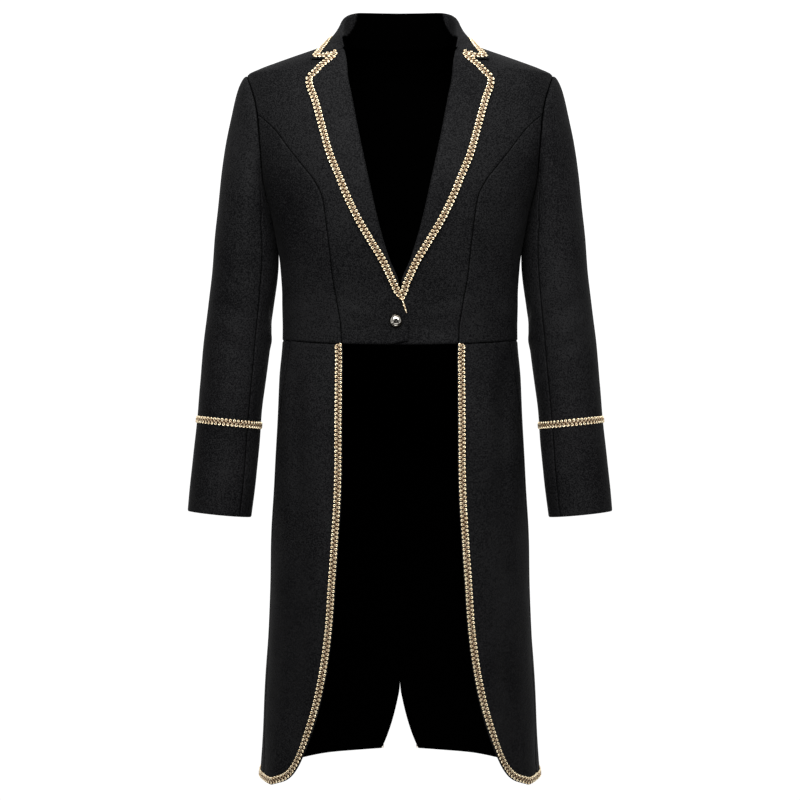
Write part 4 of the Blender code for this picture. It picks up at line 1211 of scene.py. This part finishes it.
@dataclass(frozen=True)
class Lapels:
    """Lapels: a facing turned round the front edge and pressed back on the chest."""

    gorge_height: float = 3.6
    end: float = -326.5
    facing: float = 8.0
    puff: float = 1.6
    puff_start: float = 60.0
    radius: float = 3.5
    reach: float = 4.5
    length: float = 330.0
    rows: int = 110
    end_rows: tuple[float, ...] = (0.0, 0.8, 1.8, 3.2, 5.3, 8.0)
    facing_columns: int = 5
    roll_arc: float = 78.0
    roll_columns: int = 11
    face_columns: int = 34
    edge_columns: tuple[float, ...] = (0.0, 0.008, 0.018, 0.032, 0.05, 0.08)
    narrowing: float = 0.62
    notch_gap: float = 2.5
    top_start: int = 16
    edge_end: int = 3

    def lay(self, side: Side, bodice: Bodice, x: Array, z: Array, lift: Array) -> Array:
        """Points at a lift from the front."""
        angle = FORM.front_angle(x, z)
        return FORM.skin(angle, z, bodice.drop(side, angle, z) + lift)

    def grid(self, side: Side, bodice: Bodice) -> Grid:
        """Lapel from its facing inside the front, round the roll, to its outer edge."""
        shares = graded(self.length, self.rows, self.end_rows) / self.length
        z_roll = self.gorge_height + (self.end - self.gorge_height) * shares
        z_edge = LAPEL_EDGE[0].height + (self.end - LAPEL_EDGE[0].height) * shares
        x_edge = read(LAPEL_EDGE, "x", z_edge)
        turn_x = read(ROLL_LINE, "x", z_roll) + self.reach
        middle = -SOLID_WALL / 2
        columns = [self.lay(side, bodice, turn_x + part, z_roll, middle - self.radius)
                   for part in np.linspace(self.facing, 0.0, self.facing_columns)]
        for turn in np.radians(np.linspace(-self.roll_arc, self.roll_arc, self.roll_columns)):
            columns.append(self.lay(side, bodice, turn_x - self.radius * math.cos(turn), z_roll,
                                    middle + self.radius * math.sin(turn)))
        flat = smoothstep(0.0, self.puff_start, np.hypot(x_edge - turn_x, z_edge - z_roll))
        for share in graded(1.0, self.face_columns, self.edge_columns):
            puff = self.puff * math.sin(math.pi * share) * flat
            columns.append(self.lay(side, bodice, turn_x + (x_edge - turn_x) * share,
                                    z_roll + (z_edge - z_roll) * share, middle + self.radius + puff))
        return Grid.around(np.stack(columns, axis=1), WALL / 2, WALL / 2).uneven(0.2, 5).bordered(
            Border.HIDDEN, Border.FREE, Border.FREE, Border.FREE)

    def path(self, grid: Grid, side: Side, braider: "Braider", bodice: Bodice,
             hook: tuple[Array, Array]) -> tuple[Array, Array, Array]:
        """The braid's way: round the notch from the collar, along the top, down the edge and past the end.

        Args:
            grid: The lapel.
            side: Its side.
            braider: Gives the braid's inset.
            bodice: The front it lies on.
            hook: Point and normal where the collar's braid ends.

        Returns:
            Points, normals and widths along the path.
        """
        top, edge = grid.row_at(braider.inset), grid.column_at(braider.inset, True)
        row, column = crossing(top, edge, 0.0)
        columns = np.arange(self.top_start, math.floor(column))
        rows = np.arange(math.ceil(row) + 1, len(edge) - self.edge_end)
        points, normals = grid.at(np.concatenate([top[columns], [row], rows]),
                                  np.concatenate([columns, [column], edge[rows]]))
        keep = np.ones(len(points), bool)
        keep[:len(columns)] = points[:len(columns), 0] > NOTCH_TURN[-1].x + self.notch_gap
        points, normals = points[keep], normals[keep]
        turn = self.lay(side, bodice, *columns_of(NOTCH_TURN, "x", "height"), self.radius)
        share = np.arange(1, len(turn) + 1) / (len(turn) + 1)
        turn[:, 1] = hook[0][1] + (points[0, 1] - hook[0][1]) * share
        turn_normals = hook[1] + (normals[0] - hook[1]) * share[:, None]
        height, across, lift, sideways = columns_of(LAP_BRAID[side], "height", "x", "lift", "turn")
        way = self.lay(side, bodice, across, height, lift)
        out = unit(self.lay(side, bodice, across, height, lift + 1.0) - way)
        out = out * (1 - sideways[:, None]) - OUTWARD * sideways[:, None]
        widths = np.concatenate([np.ones(1 + len(turn) + len(points)), 1 - self.narrowing * sideways])
        facing = np.vstack([hook[1], turn_normals, normals, out])
        return np.vstack([hook[0], turn, points, way]), facing, widths

    def build(self, shop: Workshop, braider: "Braider", bodice: Bodice, hook: tuple[Array, Array]) -> None:
        """Make both lapels and the braid along their top and outer edges."""
        for side in Side:
            grid = self.grid(side, bodice)
            shop.shell(f"lapel_{side.word}", grid, side, shop.cloth)
            points, normals, widths = self.path(grid, side, braider, bodice, hook)
            braider.lace(f"trim_lapel_{side.word}", side, points, normals, widths=widths)
            LOG.info("lapel %s: braided", side.word)


@dataclass(frozen=True)
class Collar:
    """Collar: stand, fold and leaf in one, from one front end to the other."""

    fold_radius: float = 2.4
    notch_dip: float = 9.2
    notch_share: float = 0.45
    notch_reach: float = 0.22
    clearance: float = 2.0
    braid_start: float = 95.0
    even_steps: int = 58
    end_steps: tuple[float, ...] = (0.0, 0.005, 0.011, 0.02, 0.032, 0.05)
    stand_rows: int = 15
    fold_rows: int = 13
    leaf_rows: int = 26
    leaf_edges: tuple[float, ...] = (0.0, 0.012, 0.026, 0.045, 0.07, 0.1)
    # Width of the soft edge of the stand's lining and painted shade.
    lining_shade_blur: float = 0.8

    @property
    def leaf_row(self) -> int:
        """First row of the leaf, below the fold."""
        return self.stand_rows + self.fold_rows

    def clear(self, points: Array) -> Array:
        """Points pushed ahead of or behind the body form, so that they stay outside it."""
        x, y, z = points[..., 0], points[..., 1], points[..., 2]
        low = z - self.clearance
        share = np.clip((np.abs(x) - self.clearance) / read(BODY, "half_width", low), 0.0, 1.0)
        power = read(BODY, "square", low)
        reach = (1 - share ** power) ** (1 / power)
        centre = read(BODY, "centre", low)
        ahead = centre - read(BODY, "front", low) * reach - self.clearance
        behind = centre + read(BODY, "back", low) * reach + self.clearance
        inside = (share < 1.0) & (low < BODY[0].height)
        result = points.copy()
        clear = np.where(y < centre, np.minimum(y, ahead), np.maximum(y, behind))
        result[..., 1] = np.where(inside, clear, y)
        return result

    def grid(self) -> Grid:
        """Rows run from the stand seam over the fold to the leaf's edge."""
        last = 1 - self.end_steps[-1]
        near_end = 1 - np.array(self.end_steps[-2::-1])
        steps = np.concatenate([np.linspace(0.0, last, self.even_steps), near_end])
        fold, seam, leaf = (np.stack([read(COLLAR, f"{part}_{axis}", steps) for axis in "xyz"], axis=1)
                            for part in ("fold", "seam", "leaf"))
        out = leaf - fold
        out[:, 2] = 0.0
        out = unit(out)
        crest = fold - UPWARD * self.fold_radius
        stand_top = crest - out * self.fold_radius
        lines = [seam + (stand_top - seam) * row / self.stand_rows for row in range(self.stand_rows)]
        for turn in np.linspace(-math.pi / 2, math.pi / 2, self.fold_rows):
            lines.append(crest + (out * math.sin(turn) + UPWARD * math.cos(turn)) * self.fold_radius)
        leaf_top = crest + out * self.fold_radius
        dip = self.notch_dip * smoothstep(1 - self.notch_reach, 1.0, steps)
        for share in graded(1.0, self.leaf_rows, self.leaf_edges)[1:]:
            point = leaf_top + (leaf - leaf_top) * share
            point[:, 2] -= dip * min(share / self.notch_share, (1 - share) / (1 - self.notch_share))
            lines.append(self.clear(point))
        half = np.stack(lines, axis=1)
        points = np.concatenate([half[:0:-1] * MIRROR, half])[::-1].swapaxes(0, 1)
        return Grid.around(points, SOLID_WALL / 2, WALL - SOLID_WALL / 2).bordered(
            Border.FREE, Border.FREE, Border.HIDDEN, Border.FREE)

    def lining_and_shade(self, grid: Grid) -> Array:
        """The stand's lined part, blackened as painted shade: its inside behind a line that climbs from the
        gorge.
        """
        bound = read(STAND_LINING_SHADE, "x", grid.points[..., 2])
        lining_and_shade = smoothstep(bound + self.lining_shade_blur, bound - self.lining_shade_blur, np.abs(grid.points[..., 0]))
        lining_and_shade[self.leaf_row - self.fold_rows // 2:] = 0.0
        return lining_and_shade

    def build(self, shop: Workshop, braider: "Braider") -> tuple[Array, Array]:
        """Make the collar and the braid along its leaf's edge and ends.

        Args:
            shop: Makes the meshes.
            braider: Laces the braid.

        Returns:
            Point and normal where the braid ends on the wearer's left.
        """
        grid = self.grid()
        shop.shell("collar", grid, Side.LEFT, shop.cloth, self.lining_and_shade(grid))
        edge = grid.row_at(braider.inset, True)
        first, last = grid.column_at(braider.inset), grid.column_at(braider.inset, True)
        low_row, low_column = crossing(edge, first, len(first) - 1.0)
        high_row, high_column = crossing(edge, last, len(last) - 1.0)
        inner = np.arange(math.ceil(low_column) + 1, math.floor(high_column))
        up, down = np.arange(self.leaf_row, int(low_row)), np.arange(self.leaf_row, int(high_row))[::-1]
        points, normals = grid.at(
            np.concatenate([up, [low_row], edge[inner], [high_row], down]),
            np.concatenate([first[up], [low_column], inner, [high_column], last[down]]))
        on_edge = np.repeat([False, True, False], [len(up), len(inner) + 2, len(down)])
        keep = on_edge | (np.abs(points[:, 0]) > self.braid_start)
        points, normals = points[keep], normals[keep]
        braider.lace("trim_collar", Side.LEFT, points, normals)
        LOG.info("collar: braided")
        left = -1 if points[-1, 0] > 0 else 0
        return points[left], normals[left]


@dataclass(frozen=True)
class Braider:
    """Gimp braid: a cord that loops out to either side in turn, over a narrow dark tape that paints shade
    into the braid's holes.
    """

    shop: Workshop
    inset: float = 5.5
    pitch: float = 5.75
    reach: float = 4.5
    loop: float = 2.2
    thread: float = 0.50
    lift: float = 1.15
    cross: float = 0.55
    # Strength of the painted shade on the cord where it crosses itself in the braid's middle.
    sunk_shade: float = 0.8
    step: float = 1.2
    samples: int = 24
    around: int = 6
    tape_width: float = 5.4
    tape_height: float = 0.3
    tape_top: float = 0.9
    tape_gap: float = 0.02
    smoothings: int = 8
    wind_lean: float = 0.25
    # Span of the cord's sideways sway over which that painted shade fades out towards the loops.
    deep_shade: Span = (0.85, 0.15)

    def even(self, points: Array, normals: Array, widths: Array,
             closed: bool) -> tuple[Array, Array, Array, Array]:
        """The path smoothed and resampled in equal steps.

        Args:
            points: Points along the braid's middle.
            normals: The cloth's normals there.
            widths: The braid's width there, as a share of the full one.
            closed: Whether the path ends where it starts.

        Returns:
            Points, normals, widths and distances along the path.
        """
        line = np.column_stack([points, normals, widths])
        if closed:
            line = np.vstack([line, line[:1]])
        length = distances(line[:, :3])
        keep = np.concatenate([[True], np.diff(length) > SAME_PLACE])
        length, line = length[keep], line[keep]
        at = np.linspace(0.0, length[-1], int(round(length[-1] / self.step)) + 1)
        line = self.read(line, length, at)
        for _ in range(self.smoothings):
            line = self.smooth(line, closed)
        return line[:, :3], unit(line[:, 3:6]), line[:, 6], at

    def smooth(self, line: Array, closed: bool) -> Array:
        """Each point moved to the mean of itself and its neighbours."""
        if closed:
            body = line[:-1]
            mean = (np.roll(body, 1, axis=0) + body * 2 + np.roll(body, -1, axis=0)) / 4
            return np.vstack([mean, mean[:1]])
        inner = (line[:-2] + line[1:-1] * 2 + line[2:]) / 4
        return np.vstack([line[:1], inner, line[-1:]])

    def lace(self, node: str, side: Side, points: Array, normals: Array, closed: bool = False,
             widths: Array | float = 1.0) -> bpy.types.Object:
        """Lace the braid along a path.

        The cord sways across the path as a sine and runs back in each sway, so that it makes a loop.
        It rises and falls as a cosine, over itself in one crossing and under in the next.

        Args:
            node: The CAD node it replaces.
            side: The side it is for.
            points: Points along its middle, on the cloth.
            normals: The cloth's normals there.
            closed: Whether the path ends where it starts.
            widths: Share of the full width at each point.

        Returns:
            The braid with its tape.
        """
        widths = np.broadcast_to(widths, len(points))
        path, facing, width, at = self.even(points, normals, widths, closed)
        across = unit(np.cross(facing, unit(np.gradient(path, axis=0))))
        turns = max(1, round(at[-1] / self.pitch))
        phase = np.linspace(0.0, 2 * math.pi * turns, turns * self.samples + 1)
        along = at[-1] * phase / phase[-1] + self.loop * np.sin(2 * phase)
        along = along % at[-1] if closed else np.clip(along, 0.0, at[-1])
        middle = self.read(path, at, along)
        middle += self.read(across * width[:, None], at, along) * (self.reach * np.sin(phase))[:, None]
        middle += self.read(facing, at, along) * (self.lift + self.cross * np.cos(phase))[:, None]
        tape, tape_quads, tape_uv = self.tape(path, facing, across * width[:, None], at)
        cord, cord_quads, cord_uv = self.tube(middle, self.read(facing, at, along), distances(middle))
        quads = np.vstack([tape_quads, cord_quads + len(tape)])
        piece = self.shop.piece(f"{node}_laced", np.vstack([tape, cord]), quads,
                                np.vstack([tape_uv, cord_uv]), side, (self.shop.braid, self.shop.tape),
                                np.repeat([1, 0], [len(tape_quads), len(cord_quads)]))
        # Painted shade: the cord is darkened where it crosses itself in the middle of the braid.
        sunk_shade = np.repeat(self.sunk_shade * smoothstep(*self.deep_shade, np.abs(np.sin(phase))), self.around)
        self.shop.mark(piece, "sunk_shade", np.concatenate([np.ones(len(tape)), sunk_shade]))
        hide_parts(node)
        return piece

    def read(self, values: Array, at: Array, along: Array) -> Array:
        """Each column of the path's values at other distances along it."""
        return np.stack([np.interp(along, at, column) for column in values.T], axis=1)

    def tape(self, path: Array, facing: Array, across: Array, at: Array) -> tuple[Array, Array, Array]:
        """Flat band under the cord, dark as painted shade in the braid's holes."""
        half, high = self.tape_width / 2, self.tape_height
        top, low = half * self.tape_top, self.tape_gap
        corners = ((-half, low), (-top, high), (top, high), (half, low))
        rings = np.stack([path + across * x + facing * z for x, z in corners], axis=1)
        return self.skin_of(rings, at, True)

    def tube(self, middle: Array, facing: Array, at: Array) -> tuple[Array, Array, Array]:
        """Round cord along a line."""
        way = unit(np.gradient(middle, axis=0))
        aside = unit(np.cross(facing, way))
        up = np.cross(way, aside)
        turns = np.linspace(0.0, 2 * math.pi, self.around, endpoint=False)
        rings = np.stack([middle + (aside * math.cos(turn) + up * math.sin(turn)) * self.thread
                          for turn in turns], axis=1)
        return self.skin_of(rings, at, False)

    def skin_of(self, rings: Array, at: Array, flip: bool) -> tuple[Array, Array, Array]:
        """Faces round a row of rings, open at both ends.

        Args:
            rings: Points of each ring.
            at: Distance of each ring along the path.
            flip: Whether the rings turn the other way.

        Returns:
            Vertices, quads and texture places.
        """
        count, around = rings.shape[:2]
        quads = grid_quads(count, around, True)
        if flip:
            quads = quads[:, ::-1]
        turn = np.broadcast_to(np.arange(around) * MM, (count, around))
        uv = np.stack([at[:, None] * MM + turn * self.wind_lean, turn], axis=-1).reshape(-1, 2)
        return rings.reshape(-1, 3), quads, uv


@dataclass(frozen=True)
class Button:
    """Domed metal shank button with a crimped rim, on the right front.

    A span is where one part of the face's painted reflections begins to show and where it shows in full.
    """

    x: float = -5.9
    height: float = -374.4
    sides: int = 72
    refining: int = 4
    face_x: float = 0.7
    rim: Span = (6.9, 7.8)
    peak_tip: float = 0.4
    peak_slope: float = 0.56
    peak_top: float = 4.2
    peak_blur: Span = (0.6, -0.4)
    peak_foot: Span = (-3.6, -2.8)
    peak_head: Span = (4.8, 4.0)
    core: Span = (0.9, -0.3)
    core_blur: Span = (1.9, 0.9)
    core_shine: float = 0.35
    crescent_y: float = -4.9
    crescent_bend: float = 0.045
    crescent_blur: Span = (1.2, 0.5)
    crescent_end: Span = (6.8, 5.8)
    arc_radius: float = 5.6
    arc_blur: Span = (0.7, 0.3)
    arc_foot: Span = (3.0, 3.8)
    profile: tuple[Span, ...] = (
        (0.0, 7.25), (1.2, 7.2), (2.5, 7.0), (3.8, 6.6), (5.0, 6.0), (6.0, 5.3), (6.8, 4.5), (7.3, 3.85),
        (7.45, 3.55), (7.5, 3.3), (7.65, 3.2), (7.95, 3.3), (8.3, 3.25), (8.6, 3.0), (8.78, 2.6),
        (8.8, 2.2), (8.7, 1.8), (8.3, 1.4), (7.2, 1.0), (5.6, 0.7), (3.4, 0.45), (2.0, 0.4),
        (1.9, 0.1), (0.0, 0.1),
    )

    def painted_reflection(self, points: Array) -> Array:
        """Painted dark reflections of the face: the rim, a peak in the middle, a crescent under it and an
        arc above.
        """
        x, y = points[:, 0], points[:, 1]
        radius, across = np.hypot(x, y), np.abs(x - self.face_x)
        half = self.peak_tip + self.peak_slope * (self.peak_top - y)
        peak = (smoothstep(*self.peak_blur, across - half) * smoothstep(*self.peak_foot, y)
                * smoothstep(*self.peak_head, y))
        core = smoothstep(*self.core_blur, np.hypot(x - self.core[0], y - self.core[1]))
        low = self.crescent_y + self.crescent_bend * across ** 2
        crescent = smoothstep(*self.crescent_blur, np.abs(y - low)) * smoothstep(*self.crescent_end, across)
        arc = smoothstep(*self.arc_blur, np.abs(radius - self.arc_radius)) * smoothstep(*self.arc_foot, y)
        # The rim, peak, crescent and arc are painted dark reflections; core_shine lightens the peak's
        # middle as painted highlight.
        total = smoothstep(*self.rim, radius) + peak * (1 - self.core_shine * core) + crescent + arc
        return np.clip(total, 0.0, 1.0)

    def build(self, shop: Workshop) -> None:
        """Turn the profile round its axis and set it on the cloth."""
        turns = np.linspace(0.0, 2 * math.pi, self.sides, endpoint=False)
        profile = np.stack([finer(column, self.refining) for column in zip(*self.profile)], axis=1)
        radius, rise = profile[:, :1], profile[:, 1:]
        rings = np.stack([radius * np.cos(turns), radius * np.sin(turns), rise + 0 * turns], axis=-1)
        rings = rings.reshape(-1, 3)
        quads = grid_quads(len(profile), self.sides, True)
        angle = FORM.front_angle(abs(self.x), self.height)
        seat = FORM.skin(angle, self.height) * MIRROR
        axis = Vector(unit(FORM.skin(angle, self.height, 1.0) * MIRROR - seat))
        turn = np.array(axis.to_track_quat("Z", "Y").to_matrix())
        piece = shop.piece("button_metal", rings @ turn.T + seat, quads, rings[:, :2] * MM, Side.LEFT,
                           (shop.gilt,))
        # The painted reflections darken the metal's colour through this vertex attribute.
        shop.mark(piece, "painted_reflection", self.painted_reflection(rings))
        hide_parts("button")
        LOG.info("button: %d faces", len(quads))


@dataclass(frozen=True)
class Studio:
    """Pale floor, soft white surroundings, soft lights and the level camera.

    Ground and sky carry the height of a direction, and behind its depth, to the white's strength.
    """

    distance: float = 4.0
    eye_height: float = -0.4836
    view_width: float = 1.128
    sensor: float = 36.0
    floor_height: float = -1.5
    floor_reach: float = 2.6
    aim: tuple[float, float, float] = (0.0, 0.0, -0.15)
    spread: float = 110.0
    ground: tuple[Span, Span] = ((-0.6, -0.17), (0.05, 1.06))
    sky: tuple[Span, Span] = ((0.0, 1.0), (0.0, 0.7))
    behind: tuple[Span, Span] = ((-0.3, 0.7), (0.20, 1.0))
    lamps: tuple[tuple[str, tuple[float, float, float], float, float], ...] = (
        ("key", (-0.3, -1.3, 0.8), 1.1, 33.0), ("fill", (0.8, -1.3, 0.7), 1.1, 14.0),
    )

    def build(self) -> None:
        """Make the stage, the lights and the camera."""
        reach, z = self.floor_reach, self.floor_height
        mesh = bpy.data.meshes.new("floor")
        corners = ((-reach, -reach), (reach, -reach), (reach, reach), (-reach, reach))
        mesh.from_pydata([(x, y, z) for x, y in corners], [], [(0, 1, 2, 3)])
        mesh.materials.append(FLOOR.build())
        floor = placed("floor", mesh)
        self.surround()
        for lamp in self.lamps:
            self.light(*lamp)
        camera = placed("camera", bpy.data.cameras.new("camera"))
        camera.data.lens = self.sensor * self.distance / self.view_width
        camera.data.sensor_width = self.sensor
        camera.location = (0.0, -self.distance, self.eye_height)
        camera.rotation_euler = (math.radians(90), 0.0, 0.0)
        bpy.context.scene.camera = camera

    def surround(self) -> None:
        """White surroundings, dim below and before the coat, bright above and behind it."""
        world = bpy.data.worlds.new("studio")
        world.use_nodes = True
        nodes = Nodes(world.node_tree)
        way = nodes.add("ShaderNodeTexCoord", "Generated", {})
        rise, depth = (nodes.add("ShaderNodeSeparateXYZ", axis, {"Vector": way}) for axis in "ZY")
        total = nodes.maths("ADD", nodes.carry(rise, *self.ground), nodes.carry(rise, *self.sky))
        nodes.feed(world.node_tree.nodes["Background"], {
            "Strength": nodes.maths("MULTIPLY", total, nodes.carry(depth, *self.behind)),
            "Color": (1.0, 1.0, 1.0, 1.0),
        })
        bpy.context.scene.world = world
        bpy.context.scene.view_settings.view_transform = "Standard"

    def light(self, name: str, place: tuple[float, float, float], size: float, power: float) -> None:
        """Square soft light aimed at the coat."""
        data = bpy.data.lights.new(name, "AREA")
        data.size, data.energy, data.spread = size, power, math.radians(self.spread)
        lamp = placed(name, data)
        lamp.location = place
        lamp.rotation_euler = (Vector(self.aim) - Vector(place)).to_track_quat("-Z", "Y").to_euler()


def main() -> None:
    """Build the coat and its studio."""
    logging.basicConfig(level=logging.INFO, format="%(message)s")
    shop = Workshop(ClothFinish().build(), LINING.build(), BraidFinish().build(), BRAID_SHADE_TAPE.build(),
                    ButtonFinish().build())
    braider = Braider(shop)
    bodice = Bodice()
    bodice.build(shop)
    Tails().build(shop, braider)
    Sleeves().build(shop, braider)
    hook = Collar().build(shop, braider)
    Lapels().build(shop, braider, bodice, hook)
    Button().build(shop)
    Studio().build()


if __name__ == "__main__":
    main()
